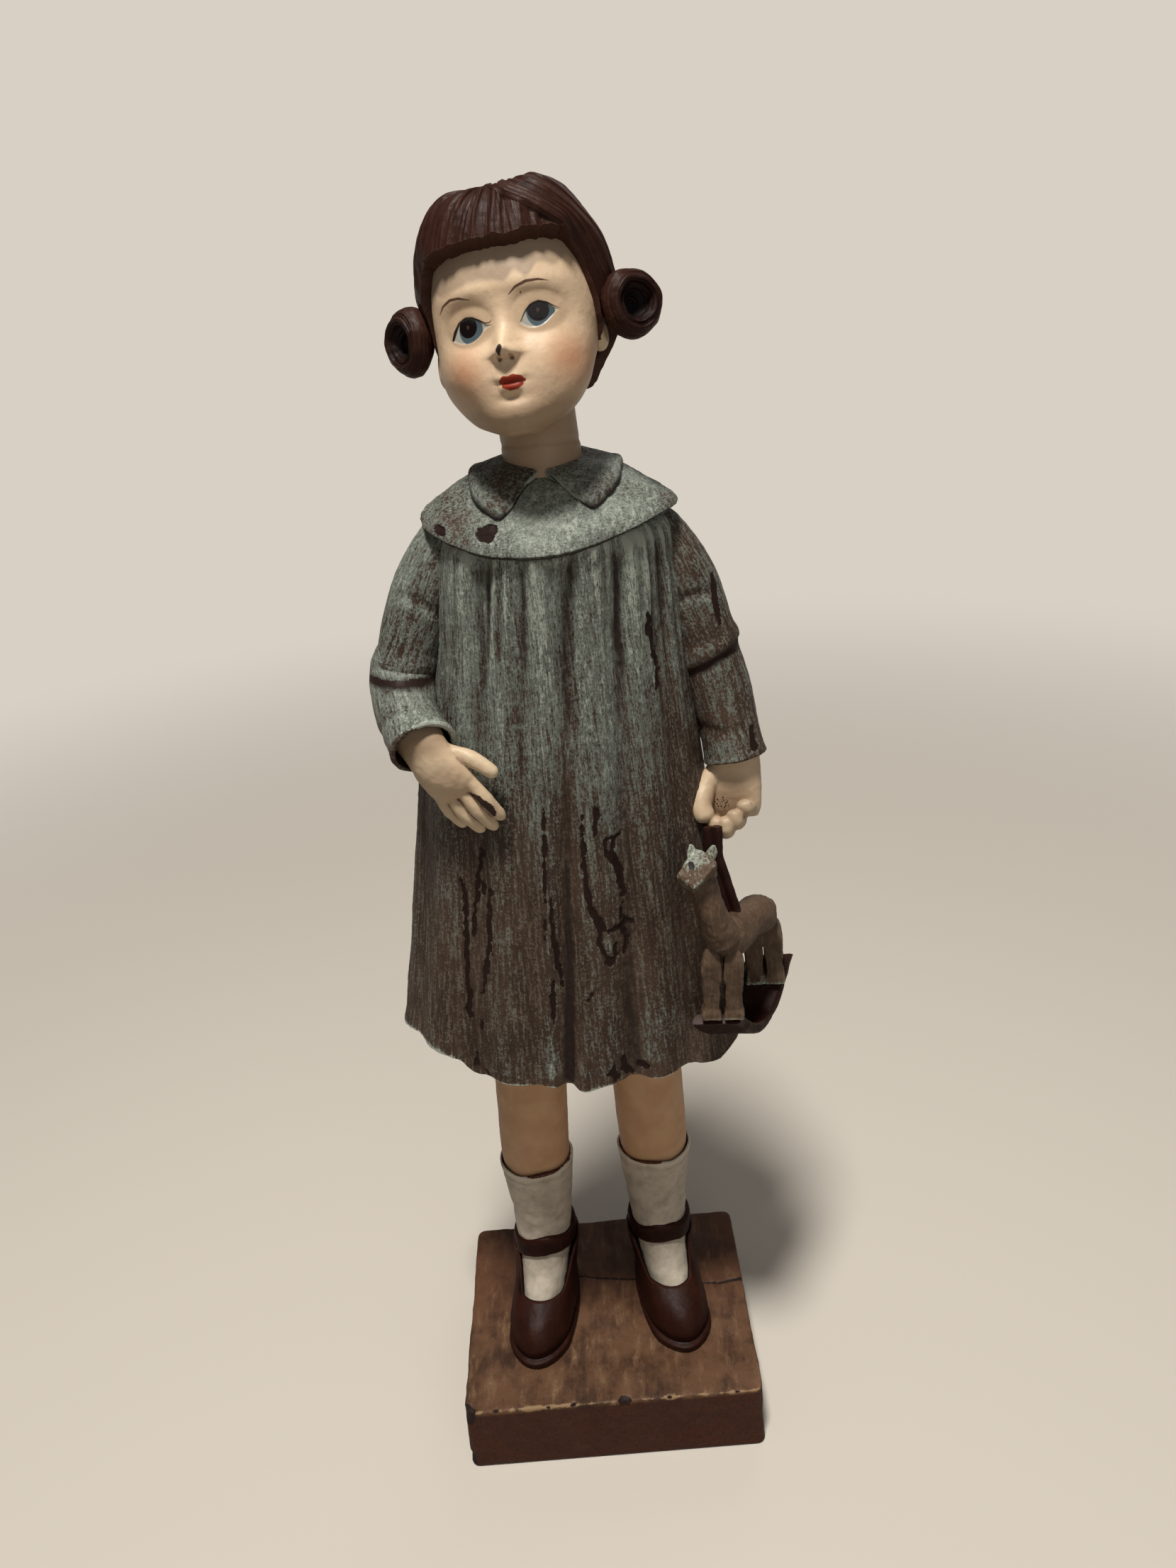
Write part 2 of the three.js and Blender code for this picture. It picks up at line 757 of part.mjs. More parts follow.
// How far the face stands proud of the plain oval at a place given in the head's frame
function faceRelief(headX, z) {
  const x = headX - face.centreX;
  const nose = face.noseReach * swell(x, face.noseHalfWidth) * swell(z - face.noseZ, face.noseHeight);
  const bridgeZ = (face.noseZ + face.eyeZ) / 2;
  const bridge = face.bridgeReach * swell(x, face.noseHalfWidth) * swell(z - bridgeZ, face.eyeHeight);
  const lips = face.lipReach * swell(x, face.lipWidth) * swell(z - face.lipZ, face.lipHeight);
  const chin = face.chinReach * swell(x, face.chinWidth) * swell(z - face.chinZ, face.chinWidth);
  let relief = nose + bridge + lips + chin;
  for (const side of [-1, 1]) {
    const eye = swell(x - side * face.eyeX, face.eyeWidth) * swell(z - face.eyeZ, face.eyeHeight);
    const cheek = swell(x - side * face.cheekX, face.cheekWidth) * swell(z - face.cheekZ, face.cheekWidth);
    relief += face.cheekReach * cheek - face.eyeSink * eye;
  }
  return relief;
}

function headPoint(turn, share, grow) {
  const [frontShare, backShare, widthShare] = rowAt(headShares, share);
  const front = head.front * frontShare + grow;
  const back = head.back * backShare + grow;
  const half = (front + back) / 2;
  const point = ovalPoint(turn, head.halfWidth * widthShare + grow, half, half, headSquareness);
  point.y += (back - front) / 2;
  point.z = THREE.MathUtils.lerp(head.chinZ, head.crownZ, share);
  if (point.y < 0) point.y -= faceRelief(point.x, point.z) * Math.min(1, -point.y / head.front);
  if (share === 0) point.z -= grow;
  if (share === 1) point.z += grow;
  return point;
}
const headRingShares = [
  0, 0.03, 0.08, 0.13, 0.18, 0.215, 0.25, 0.3, 0.35, 0.4, 0.45, 0.52, 0.63, 0.75, 0.85, 0.93, 1,
];

function earSolid(side, grow) {
  const geometry = new THREE.SphereGeometry(1, 10, 6);
  geometry.scale(ear.thickness + grow, ear.halfDepth + grow, ear.halfHeight + grow);
  geometry.translate(side * ear.x, ear.y, ear.z);
  return solid(geometry);
}

function headMatrix() {
  const turned = new THREE.Euler(head.nod, head.tilt, head.turn, "ZYX");
  return new THREE.Matrix4().makeRotationFromEuler(turned).setPosition(head.x, head.y, head.z);
}

// The neck stands in the yoke and rises into the head, in the figure's frame.
function neckSolid(grow) {
  return stack([0, 0.5, 1], sides.limb, (turn, share) => {
    const radius = neck.radius + grow;
    const lift = share === 0 ? -grow : 0;
    const z = THREE.MathUtils.lerp(yoke.neckZ - neck.rootDepth, head.z - neck.topDepth, share) + lift;
    return ovalPoint(turn, radius, radius, radius).add(
      new THREE.Vector3(yoke.neckX + neck.lean * share, yoke.neckY, z),
    );
  });
}

function skullSolid(grow) {
  const skull = stack(headRingShares, sides.head, (turn, share) => headPoint(turn, share, grow));
  return join(skull, earSolid(-1, grow), earSolid(1, grow));
}

// Hair: a cap over the skull, with locks that fan from the parting at the crown
const templeTurnShare = 0.8; // where the hair stands fullest, in front of her right ear
function hairPoint(turn, share) {
  const plain = headPoint(turn, share, 0);
  const relief = plain.y < 0 ? faceRelief(plain.x, plain.z) * Math.min(1, -plain.y / head.front) : 0;
  plain.y += relief;
  const outwards = new THREE.Vector3(plain.x, plain.y, 0).normalize();
  const flute = 0.5 - 0.5 * Math.cos(turn * fullTurn * hair.fluteCount);
  const swept = hair.sweepReach * swell(turnApart(turn, 0.17), 0.2) * swell(share - 0.9, 0.35);
  const rise = THREE.MathUtils.smoothstep(share, 0.6, 1);
  const temple = hair.templeReach * swell(turnApart(turn, templeTurnShare), 0.12) * swell(share - 0.88, 0.14);
  const taper = hair.napeTaper * (1 - THREE.MathUtils.smoothstep(share, 0.1, 0.45));
  const fluted = hair.fluteDepth * flute * (1 - 0.5 * rise);
  const thickness = hair.thickness + swept + temple - taper - fluted;
  plain.addScaledVector(outwards, thickness);
  plain.x += hair.crownX * rise ** 3;
  plain.y += hair.crownY * rise ** 3;
  plain.z += thickness * rise + (hair.crest * rise * plain.x) / head.halfWidth;
  return plain;
}
const hairRingShares = [0, 0.1, 0.2, 0.32, 0.44, 0.56, 0.66, 0.75, 0.83, 0.89, 0.94, 0.975, 1];

// The face shows through a window: under the arch of the fringe and in front of the sides.
function faceWindow() {
  const far = head.front + overrun;
  const arch = evenShares(9).map((share) => {
    const x = hair.fringeHalfWidth * (2 * share - 1);
    return [x, hair.fringeZ + hair.fringeArch * (1 - (2 * share - 1) ** 2)];
  });
  const bottom = head.chinZ - overrun;
  const front = [[-far, bottom], [-far, hair.fringeZ], ...arch, [far, hair.fringeZ], [far, bottom]];
  const side = [
    [-far, head.crownZ],
    [-far, bottom],
    [hair.napeY, bottom],
    [hair.napeY, hair.sidelockZ + hair.sidelockY],
    [hair.sidelockY, hair.sidelockZ],
    [(hair.sidelockY + hair.templeY) / 2, (hair.sidelockZ + hair.fringeZ) / 2],
    [hair.templeY, hair.fringeZ],
    [0, head.crownZ],
  ];
  const under = [
    [-far, hair.napeZ],
    [far, hair.napeZ],
    [far, bottom - overrun],
    [-far, bottom - overrun],
  ];
  return [
    slab(front, 2 * far, fromTheFront).intersect(slab(side, 2 * far, fromTheSide)),
    slab(under, 2 * far, fromTheSide),
  ];
}

// Bun: a coil wound in a spiral from its dished middle to its rim, on its own axis +Z
function bunSolid() {
  const frontRings = 8;
  const backShares = [0.9, 0.6, 0.2];
  const rings = [];
  for (let i = 0; i <= frontRings; i += 1) {
    const share = 0.06 + (0.94 * i) / frontRings;
    rings.push(
      Array.from({ length: sides.bun }, (_, j) => {
        const turn = j / sides.bun;
        const radius = bun.radius * share;
        const groove = 0.5 + 0.5 * Math.cos((radius / bun.coilPitch - turn) * fullTurn);
        const dome = bun.halfDepth * Math.sqrt(Math.max(0, 1 - share ** 4));
        const dish = bun.dish * (1 - share) ** 2;
        const z = dome - dish - bun.coilDepth * groove * Math.sin(share * Math.PI);
        return ovalPoint(turn, radius, radius, radius).setZ(z);
      }),
    );
  }
  for (const share of backShares) {
    const radius = bun.radius * share;
    const z = -bun.halfDepth * Math.sqrt(1 - share ** 2);
    rings.push(
      Array.from({ length: sides.bun }, (_, j) => ovalPoint(j / sides.bun, radius, radius, radius).setZ(z)),
    );
  }
  return solid(skinOver(rings));
}

function bunMatrix(side) {
  const forwards = Math.sqrt(1 - bun.faceOut ** 2);
  const axis = new THREE.Vector3(side * bun.faceOut, -forwards, 0);
  const up = axisZ.clone();
  const across = new THREE.Vector3().crossVectors(up, axis);
  return new THREE.Matrix4().makeBasis(across, up, axis).setPosition(side * bun.x, bun.y, bun.z);
}

function addHead() {
  const group = addGroup(figure, "head_group", head.x, head.y, head.z);
  group.rotation.set(head.nod, head.tilt, head.turn, "ZYX");
  const intoHead = headMatrix().invert();
  const skullGrown = skullSolid(glueGap);
  const hairCap = stack(hairRingShares, sides.hair, hairPoint);
  const capCut = cut(hairCap, skullGrown, moved(neckSolid(glueGap), intoHead), ...faceWindow());
  addNode(group, "head", join(skullSolid(0), moved(neckSolid(0), intoHead)), skinPaint);
  addNode(group, "hair", capCut, hairPaint);
  for (const [name, side] of [["right_bun", -1], ["left_bun", 1]]) {
    const coil = moved(bunSolid(), bunMatrix(side));
    const seat = join(skullGrown, hairSeat());
    addNode(group, name, cut(coil, seat), hairPaint);
  }
}

// The hair's outer surface grown by the seat's gap, for the buns to sit against
function hairSeat() {
  return stack(hairRingShares, sides.hair, (turn, share) => {
    const point = hairPoint(turn, share);
    const outwards = new THREE.Vector3(point.x, point.y, 0).normalize();
    return point.addScaledVector(outwards, glueGap);
  });
}

// Sleeves
const upperSleeveShares = [
  [0, 0.72, 0.72],
  [0.12, 0.9, 0.88],
  [0.45, 1, 1],
  [0.85, 0.97, 0.97],
  [0.95, 1.03, 1.03],
  [1, 0.96, 0.96],
];
const lowerSleeveShares = [
  [0, 0.86, 0.86],
  [0.18, 0.94, 0.94],
  [0.3, 0.98, 0.98],
  [0.75, 0.87, 0.87],
  [0.95, 0.9, 0.9],
  [1, 0.86, 0.86],
];

function vectors(...places) {
  return places.map((place) => new THREE.Vector3(...place));
}

function upperSleeve(arm, grow) {
  return limb({
    points: vectors(arm.shoulder, arm.middle, arm.elbow),
    halfWidth: sleeve.radius + grow,
    halfDepth: sleeve.radius + grow,
    sizeShares: upperSleeveShares,
    count: sides.limb,
    rings: 4,
    across: axisX,
  });
}

function lowerSleeve(arm, grow) {
  const [middle, elbow] = vectors(arm.middle, arm.elbow);
  const start = elbow.clone().lerp(middle, 0.16);
  return limb({
    points: [start, elbow, ...vectors(arm.forearm, arm.cuff)],
    halfWidth: sleeve.radius + grow,
    halfDepth: sleeve.radius + grow,
    sizeShares: lowerSleeveShares,
    count: sides.limb,
    rings: 6,
    across: axisX,
  });
}

// Hands, in a frame with X to the thumb's side, Y out of the back of the hand and Z along
// the fingers. Rows are points as shares of the hand's length; the last entry is the girth.
const openHandShares = {
  palm: [[0, -0.2, -0.22], [0, -0.07, -0.1], [0, 0.03, 0.24], [0.01, 0, 0.55]],
  digits: [
    [[[0.19, 0, 0.4], [0.23, 0.02, 0.7], [0.2, -0.05, 0.97]], 1],
    [[[0.06, 0.02, 0.42], [0.08, 0.03, 0.74], [0.06, -0.05, 1.03]], 1.02],
    [[[-0.06, 0.02, 0.42], [-0.07, 0.03, 0.72], [-0.08, -0.05, 0.99]], 1],
    [[[-0.18, 0, 0.38], [-0.22, 0.01, 0.62], [-0.22, -0.05, 0.87]], 0.88],
    [[[0.12, -0.04, 0.04], [0.34, -0.05, 0.24], [0.46, -0.05, 0.5]], 1.12],
  ],
};
const fistShares = {
  palm: [[0, 0, -0.4], [0, 0, -0.1], [0, 0.05, 0.35], [0, 0, 0.82]],
  digits: [
    [[[0.22, 0.02, 0.62], [0.26, -0.12, 0.97], [0.24, -0.36, 0.95], [0.22, -0.4, 0.76]], 1],
    [[[0.08, 0.04, 0.62], [0.1, -0.12, 1.02], [0.09, -0.4, 0.98], [0.08, -0.42, 0.76]], 1],
    [[[-0.08, 0.04, 0.62], [-0.08, -0.12, 0.98], [-0.07, -0.38, 0.93], [-0.06, -0.38, 0.74]], 1],
    [[[-0.22, 0.02, 0.6], [-0.24, -0.1, 0.88], [-0.22, -0.32, 0.84], [-0.19, -0.34, 0.7]], 0.92],
    [[[0.2, -0.06, 0.12], [0.37, -0.22, 0.32], [0.46, -0.38, 0.5]], 1.05],
  ],
};
const palmShares = [
  [0, 0.78, 1.25],
  [0.3, 0.84, 1.25],
  [0.55, 0.95, 1.1],
  [0.9, 1, 0.9],
  [1, 0.9, 0.62],
];
const digitShares = [
  [0, 0.9, 0.9],
  [0.5, 1, 0.95],
  [0.82, 0.92, 0.88],
  [0.95, 0.68, 0.62],
  [1, 0.3, 0.28],
];

function handSolid(shares, size, grow) {
  const place = ([x, y, z]) => new THREE.Vector3(x, y, z).multiplyScalar(size.length);
  const palm = limb({
    points: shares.palm.map(place),
    halfWidth: size.palmHalfWidth + grow,
    halfDepth: size.palmHalfDepth + grow,
    sizeShares: palmShares,
    count: sides.strap,
    rings: 5,
    across: axisX,
  });
  const digits = shares.digits.map(([points, girth]) =>
    limb({
      points: points.map(place),
      halfWidth: size.fingerRadius * girth + grow,
      halfDepth: size.fingerRadius * girth + grow,
      sizeShares: digitShares,
      count: sides.digit,
      rings: 2,
      across: axisX,
    }),
  );
  return join(palm, ...digits);
}

function handMatrix(wrist, fingersTo, backTo) {
  const along = new THREE.Vector3(...fingersTo).normalize();
  const back = new THREE.Vector3(...backTo).addScaledVector(along, -along.dot(new THREE.Vector3(...backTo)));
  back.normalize();
  const thumb = new THREE.Vector3().crossVectors(back, along);
  return new THREE.Matrix4().makeBasis(thumb, back, along).setPosition(...wrist);
}
const rightHandMatrix = handMatrix(rightArm.cuff, [0.5, -0.1, -0.86], [-0.42, -0.9, 0]);
const leftHandMatrix = handMatrix(leftArm.cuff, [-0.07, -0.14, -1], [0.25, 1, 0]);

function addHand(name, matrix, body) {
  const group = addGroup(figure, `${name}_group`, 0, 0, 0);
  matrix.decompose(group.position, group.quaternion, group.scale);
  addNode(group, name, body, skinPaint);
}

function addDressAndArms(dressGrown) {
  const neckGrown = neckSolid(glueGap);
  const legHoles = [
    moved(legSolid(glueGap), footMatrix(-1, "right")),
    moved(legSolid(glueGap), footMatrix(1, "left")),
  ];
  addNode(figure, "dress", cut(dressSolid(0), hemHollow(), ...legHoles, neckGrown), dressPaint);
  const yokeGrown = yokeSolid(glueGap);
  addNode(figure, "yoke", cut(yokeSolid(0), yokeCore(), neckGrown), dressPaint);
  for (const [name, side] of [["right_collar", -1], ["left_collar", 1]]) {
    addNode(figure, name, cut(collarSolid(side), yokeGrown, neckGrown), dressPaint);
  }
  const rightHand = moved(handSolid(openHandShares, hand, glueGap), rightHandMatrix);
  const leftHand = moved(handSolid(fistShares, fist, glueGap), leftHandMatrix);
  for (const [name, arm, palm] of [["right", rightArm, rightHand], ["left", leftArm, leftHand]]) {
    const upper = cut(upperSleeve(arm, 0), dressGrown, yokeGrown);
    const lower = cut(lowerSleeve(arm, 0), upperSleeve(arm, glueGap), dressGrown, palm);
    addNode(figure, `${name}_upper_sleeve`, upper, dressPaint);
    addNode(figure, `${name}_lower_sleeve`, lower, dressPaint);
  }
  const intoRight = rightHandMatrix.clone().invert();
  const intoLeft = leftHandMatrix.clone().invert();
  const open = cut(handSolid(openHandShares, hand, 0), moved(dressGrown, intoRight));
  const closed = cut(handSolid(fistShares, fist, 0), moved(dressGrown, intoLeft));
  addHand("right_hand", rightHandMatrix, open);
  addHand("left_hand", leftHandMatrix, cut(closed, moved(strapSolid(glueGap), intoLeft)));
}

// Toy rocking horse. Rows are points as shares of its width, length and height.
const toySlant = toy.slantShare * fullTurn;
const toyAlong = new THREE.Vector3(Math.sin(toySlant), Math.cos(toySlant), 0);
const toyAcross = new THREE.Vector3(Math.cos(toySlant / 6), -Math.sin(toySlant / 6), 0);

function toyPoint([across, along, up]) {
  return new THREE.Vector3(toy.x, toy.y, toy.z + up * toy.height)
    .addScaledVector(toyAcross, across * toy.width)
    .addScaledVector(toyAlong, along * toy.length);
}
const horseShares = {
  body: [[0.1, -0.47, 0.565], [0.1, -0.2, 0.535], [0.1, 0.08, 0.515], [0.1, 0.28, 0.47]],
  neck: [[0.1, -0.42, 0.565], [-0.04, -0.46, 0.69], [-0.24, -0.47, 0.86]],
  head: [[-0.13, -0.42, 0.915], [-0.25, -0.5, 0.885], [-0.38, -0.58, 0.85]],
  rightEar: [[-0.34, -0.46, 0.91], [-0.4, -0.45, 0.955], [-0.42, -0.45, 0.99]],
  leftEar: [[-0.1, -0.44, 0.92], [-0.04, -0.43, 0.95], [-0.01, -0.43, 0.98]],
  tail: [[0.1, 0.3, 0.53], [0.12, 0.39, 0.48], [0.12, 0.43, 0.37]],
};
const horseLegShares = [
  ["horse_front_leg_right", [[-0.1, -0.44, 0.54], [-0.12, -0.45, 0.38], [-0.12, -0.46, 0.222]]],
  ["horse_front_leg_left", [[0.32, -0.44, 0.54], [0.33, -0.45, 0.38], [0.33, -0.46, 0.222]]],
  ["horse_hind_leg_right", [[-0.12, 0.25, 0.46], [-0.12, 0.32, 0.33], [-0.12, 0.35, 0.16]]],
  ["horse_hind_leg_left", [[0.34, 0.25, 0.46], [0.34, 0.32, 0.33], [0.34, 0.35, 0.16]]],
];
const strapShares = [[-0.42, -0.12, 0.98], [-0.36, -0.15, 0.86], [-0.14, -0.16, 0.73], [0.06, -0.17, 0.6]];
const horseBodyShares = [
  [0, 0.5, 0.55],
  [0.06, 0.8, 0.9],
  [0.2, 1, 1.05],
  [0.5, 0.92, 0.9],
  [0.8, 1, 1.02],
  [0.95, 0.75, 0.8],
  [1, 0.35, 0.4],
];
const horseNeckShares = [
  [0, 1.15, 1.3],
  [0.5, 1, 1.1],
  [1, 0.85, 0.9],
];
const horseHeadShares = [
  [0, 0.7, 0.75],
  [0.12, 1, 1],
  [0.6, 0.9, 0.85],
  [0.95, 0.78, 0.7],
  [1, 0.6, 0.5],
];
const horseLegSizeShares = [
  [0, 1.3, 1.3],
  [0.4, 1, 1],
  [0.85, 0.85, 0.85],
  [0.92, 1.05, 1.1],
  [1, 1.05, 1.1],
];
const earShares = [
  [0, 1.1, 1.1],
  [0.6, 1, 0.8],
  [1, 0.4, 0.4],
];

function toyLimb(shares, radius, sizeShares, grow = 0, count = sides.digit, rings = 5) {
  return limb({
    points: shares.map(toyPoint),
    halfWidth: radius + grow,
    halfDepth: radius + grow,
    sizeShares,
    count,
    rings,
    across: toyAcross,
  });
}

const boardSteps = 13;

function boardSolid(grow) {
  const rings = evenShares(boardSteps).map((share) => {
    const along = share - 0.5;
    const middle = toyPoint([0, along, 0]);
    const slope = (8 * toy.boardRise * along) / toy.length;
    const up = new THREE.Vector3().copy(toyAlong).multiplyScalar(-slope).add(axisZ).normalize();
    middle.z += toy.boardRise * 4 * along ** 2;
    return [
      [-0.5, 0],
      [0.5, 0],
      [0.5, 1],
      [-0.5, 1],
    ].map(([across, thick]) =>
      middle
        .clone()
        .addScaledVector(toyAcross, across * (toy.width + 2 * grow))
        .addScaledVector(up, thick * (toy.boardThickness + 2 * grow) - grow),
    );
  });
  return solid(skinOver(rings));
}

function horseBodySolid(grow) {
  const body = toyLimb(horseShares.body, toy.bodyRadius, horseBodyShares, grow, sides.limb, 7);
  const neckPart = toyLimb(horseShares.neck, toy.neckRadius, horseNeckShares, grow, sides.strap, 5);
  const tail = toyLimb(horseShares.tail, toy.legRadius, digitShares, grow, sides.digit, 4);
  return join(body, neckPart, tail);
}

function strapSolid(grow) {
  return limb({
    points: strapShares.map(toyPoint),
    halfWidth: toy.strapHalfWidth + grow,
    halfDepth: toy.strapHalfDepth + grow,
    sizeShares: [
      [0, 1, 1],
      [1, 1, 1],
    ],
    count: sides.strap,
    rings: 7,
    across: toyAcross,
    relief: (angle) => -toy.strapGroove * swell(Math.cos(angle), 0.4),
  });
}

function addToy(dressGrown) {
  const bodyGrown = horseBodySolid(glueGap);
  const board = cut(boardSolid(0), dressGrown);
  addNode(figure, "rocker_board", board, rockerPaint);
  addNode(figure, "horse_body", cut(horseBodySolid(0), dressGrown), horsePaint);
  const headPart = toyLimb(horseShares.head, toy.headRadius, horseHeadShares, 0, sides.strap, 5);
  const ears = [horseShares.rightEar, horseShares.leftEar].map((line) =>
    toyLimb(line, toy.earRadius, earShares, 0, sides.digit, 3),
  );
  addNode(figure, "horse_head", cut(join(headPart, ...ears), bodyGrown, dressGrown), horsePaint);
  for (const [name, line] of horseLegShares) {
    const shin = toyLimb(line, toy.legRadius, horseLegSizeShares);
    addNode(figure, name, cut(shin, bodyGrown, boardSolid(glueGap), dressGrown), horsePaint);
  }
  addNode(figure, "horse_strap", cut(strapSolid(0), bodyGrown, dressGrown), rockerPaint);
}

addNode(figure, "block", blockSolid(), blockPaint);
addFoot(-1, "right");
addFoot(1, "left");
const dressGrown = dressSolid(glueGap);
addDressAndArms(dressGrown);
addHead();
addToy(dressGrown);

export default figure;
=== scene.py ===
import math

import bpy
import numpy as np
from mathutils import Euler, Matrix, Vector


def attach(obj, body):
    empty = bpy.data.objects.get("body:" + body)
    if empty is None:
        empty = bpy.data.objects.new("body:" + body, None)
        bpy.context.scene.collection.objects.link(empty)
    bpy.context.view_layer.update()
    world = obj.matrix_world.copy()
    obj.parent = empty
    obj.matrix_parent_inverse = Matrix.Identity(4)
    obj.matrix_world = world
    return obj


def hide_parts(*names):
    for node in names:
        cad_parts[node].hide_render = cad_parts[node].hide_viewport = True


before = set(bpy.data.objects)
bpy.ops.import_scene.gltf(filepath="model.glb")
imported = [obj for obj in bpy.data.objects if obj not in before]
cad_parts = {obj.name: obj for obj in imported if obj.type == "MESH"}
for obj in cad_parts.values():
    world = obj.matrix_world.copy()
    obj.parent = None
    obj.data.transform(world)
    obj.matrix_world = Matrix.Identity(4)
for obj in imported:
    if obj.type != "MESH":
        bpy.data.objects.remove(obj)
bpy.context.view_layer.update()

MM = 0.001
TAU = 2 * math.pi
BODY = "root"

# Camera
PHOTO_HEIGHT = 2212
FOCAL_PIXELS = 1520
SENSOR = 36
CAMERA_PLACE = Vector((5.0, -139.96, 181.17))
CAMERA_PITCH = math.radians(24.6)
CAMERA_ROLL = math.radians(-4.898)
CAMERA_YAW = math.radians(-0.238)


def make_camera():
    level = Vector((math.cos(CAMERA_YAW), -math.sin(CAMERA_YAW), 0))
    ahead = Vector((math.sin(CAMERA_YAW), math.cos(CAMERA_YAW), -math.tan(CAMERA_PITCH))).normalized()
    down = ahead.cross(level)
    right = level * math.cos(CAMERA_ROLL) - down * math.sin(CAMERA_ROLL)
    down = level * math.sin(CAMERA_ROLL) + down * math.cos(CAMERA_ROLL)
    data = bpy.data.cameras.new("camera")
    data.sensor_width = SENSOR
    data.lens = SENSOR * FOCAL_PIXELS / PHOTO_HEIGHT
    data.clip_start = 5 * MM
    camera = bpy.data.objects.new("camera", data)
    bpy.context.scene.collection.objects.link(camera)
    camera.matrix_world = Matrix((right, -down, -ahead)).transposed().to_4x4()
    camera.location = CAMERA_PLACE * MM
    bpy.context.scene.camera = camera


# Numbers
def table_at(table, x):
    """Smooth values at x of a table whose rows are a place and one or more values."""
    table = np.asarray(table, float)
    places, values = table[:, 0], table[:, 1:]
    x = np.clip(np.asarray(x, float), places[0], places[-1])
    i = np.clip(np.searchsorted(places, x, side="right") - 1, 0, len(places) - 2)
    low, high = np.maximum(i - 1, 0), np.minimum(i + 2, len(places) - 1)
    step = (places[i + 1] - places[i])[..., None]
    start = (values[i + 1] - values[low]) / (places[i + 1] - places[low])[..., None] * step
    end = (values[high] - values[i]) / (places[high] - places[i])[..., None] * step
    t = (x - places[i])[..., None] / step
    rise = 3 * t**2 - 2 * t**3
    made = (1 - rise) * values[i] + rise * values[i + 1]
    made = made + (t - 2 * t**2 + t**3) * start + (t**3 - t**2) * end
    return np.moveaxis(made, -1, 0)


def curve_at(pairs, x):
    return table_at(pairs, x)[0]


def swell(offset, width):
    return np.exp(-((offset / width) ** 2))


def smooth(low, high, x):
    t = np.clip((x - low) / (high - low), 0, 1)
    return t * t * (3 - 2 * t)


def mix(a, b, share):
    return a + (b - a) * share


def turn_apart(a, b):
    apart = np.abs(a - b) % 1
    return np.minimum(apart, 1 - apart)


# Whole numbers that scatter the place of a cell, the seed and the sum of both
CELL_FACTORS = (374761393, 668265263, 1440662683)
SEED_FACTOR = 97531
MIXING_FACTOR = 1274126177


def noise(points, size, seed):
    """Smooth noise from -1 to 1 with grains of that size, or (x, y, z) sizes."""
    places = points / np.asarray(size, float)
    cell = np.floor(places).astype(np.int64)
    t = smooth(0, 1, places - cell)
    total = 0
    for corner in np.ndindex(2, 2, 2):
        mixed = ((cell + corner) * CELL_FACTORS).sum(-1) + seed * SEED_FACTOR
        mixed = (mixed ^ (mixed >> 13)) * MIXING_FACTOR & 0xFFFFFFFF
        value = ((mixed ^ (mixed >> 16)) & 0xFFFF) / 0x7FFF - 1
        weight = np.where(corner, t, 1 - t).prod(-1)
        total = total + weight * value
    return total


def line_noise(x, size, seed):
    """Smooth noise that changes along one line only."""
    return noise(np.stack([x, 0 * x, 0 * x], -1), size, seed)


OUTSIDE = -9.0  # the value of a painted mark far from it


def stroke(u, v, line):
    """How far inside a line of rows (u, v, half width) each place (u, v) lies."""
    inside = []
    for a, b in zip(line[:-1], line[1:]):
        du, dv = b[0] - a[0], b[1] - a[1]
        t = np.clip(((u - a[0]) * du + (v - a[1]) * dv) / max(du * du + dv * dv, 1e-9), 0, 1)
        away = np.hypot(u - a[0] - t * du, v - a[1] - t * dv)
        inside.append(mix(a[2], b[2], t) - away)
    return np.maximum.reduce(inside)


def stroke_set(u, v, lines):
    return np.maximum.reduce([stroke(u, v, line) for line in lines])


# Meshes
def signed_power(value, power):
    return np.sign(value) * np.abs(value) ** power


def oval(turn, half_width, front, back, squareness=1.0):
    sine, cosine = np.sin(turn * TAU), np.cos(turn * TAU)
    x = half_width * signed_power(sine, 1 / squareness)
    y = -np.where(cosine > 0, front, back) * signed_power(cosine, 1 / squareness)
    return np.stack(np.broadcast_arrays(x, y, 0.0), -1)


def circle(turn, radius):
    return oval(turn, radius, radius, radius)


def steps(count, low=0.0, high=1.0):
    return np.linspace(low, high, count)[:, None]


def turns(count):
    return (np.arange(count) / count)[None, :]


def loft(rings):
    """The closed skin over rings of points, (rings, points, 3), with a fan over each end."""
    rows, count = rings.shape[:2]
    ends = [rings[0].mean(0)[None], rings[-1].mean(0)[None]]
    points = np.concatenate([rings.reshape(-1, 3), *ends])
    i, j = np.meshgrid(np.arange(rows - 1), np.arange(count), indexing="ij")
    a = (i * count + j).ravel()
    b = (i * count + (j + 1) % count).ravel()
    quads = np.stack([a, b, b + count, a + count], -1)
    j = np.arange(count)
    after = (j + 1) % count
    last = (rows - 1) * count
    low = np.stack([np.full(count, rows * count), after, j], -1)
    high = np.stack([np.full(count, rows * count + 1), last + j, last + after], -1)
    return points, [quads, np.concatenate([low, high])]


def hoop(rings):
    """The skin over rings of points that also joins the last ring to the first."""
    index = np.arange(rings[..., 0].size).reshape(rings.shape[:2])
    above = np.roll(index, -1, 0)
    quads = np.stack([index, np.roll(index, -1, 1), np.roll(above, -1, 1), above], -1)
    return rings.reshape(-1, 3), [quads.reshape(-1, 4)]


def facing_out(points, faces):
    total = 0.0
    for group in faces:
        for k in range(1, group.shape[1] - 1):
            a, b, c = points[group[:, 0]], points[group[:, k]], points[group[:, k + 1]]
            total += (a * np.cross(b, c)).sum()
    return faces if total > 0 else [group[:, ::-1] for group in faces]


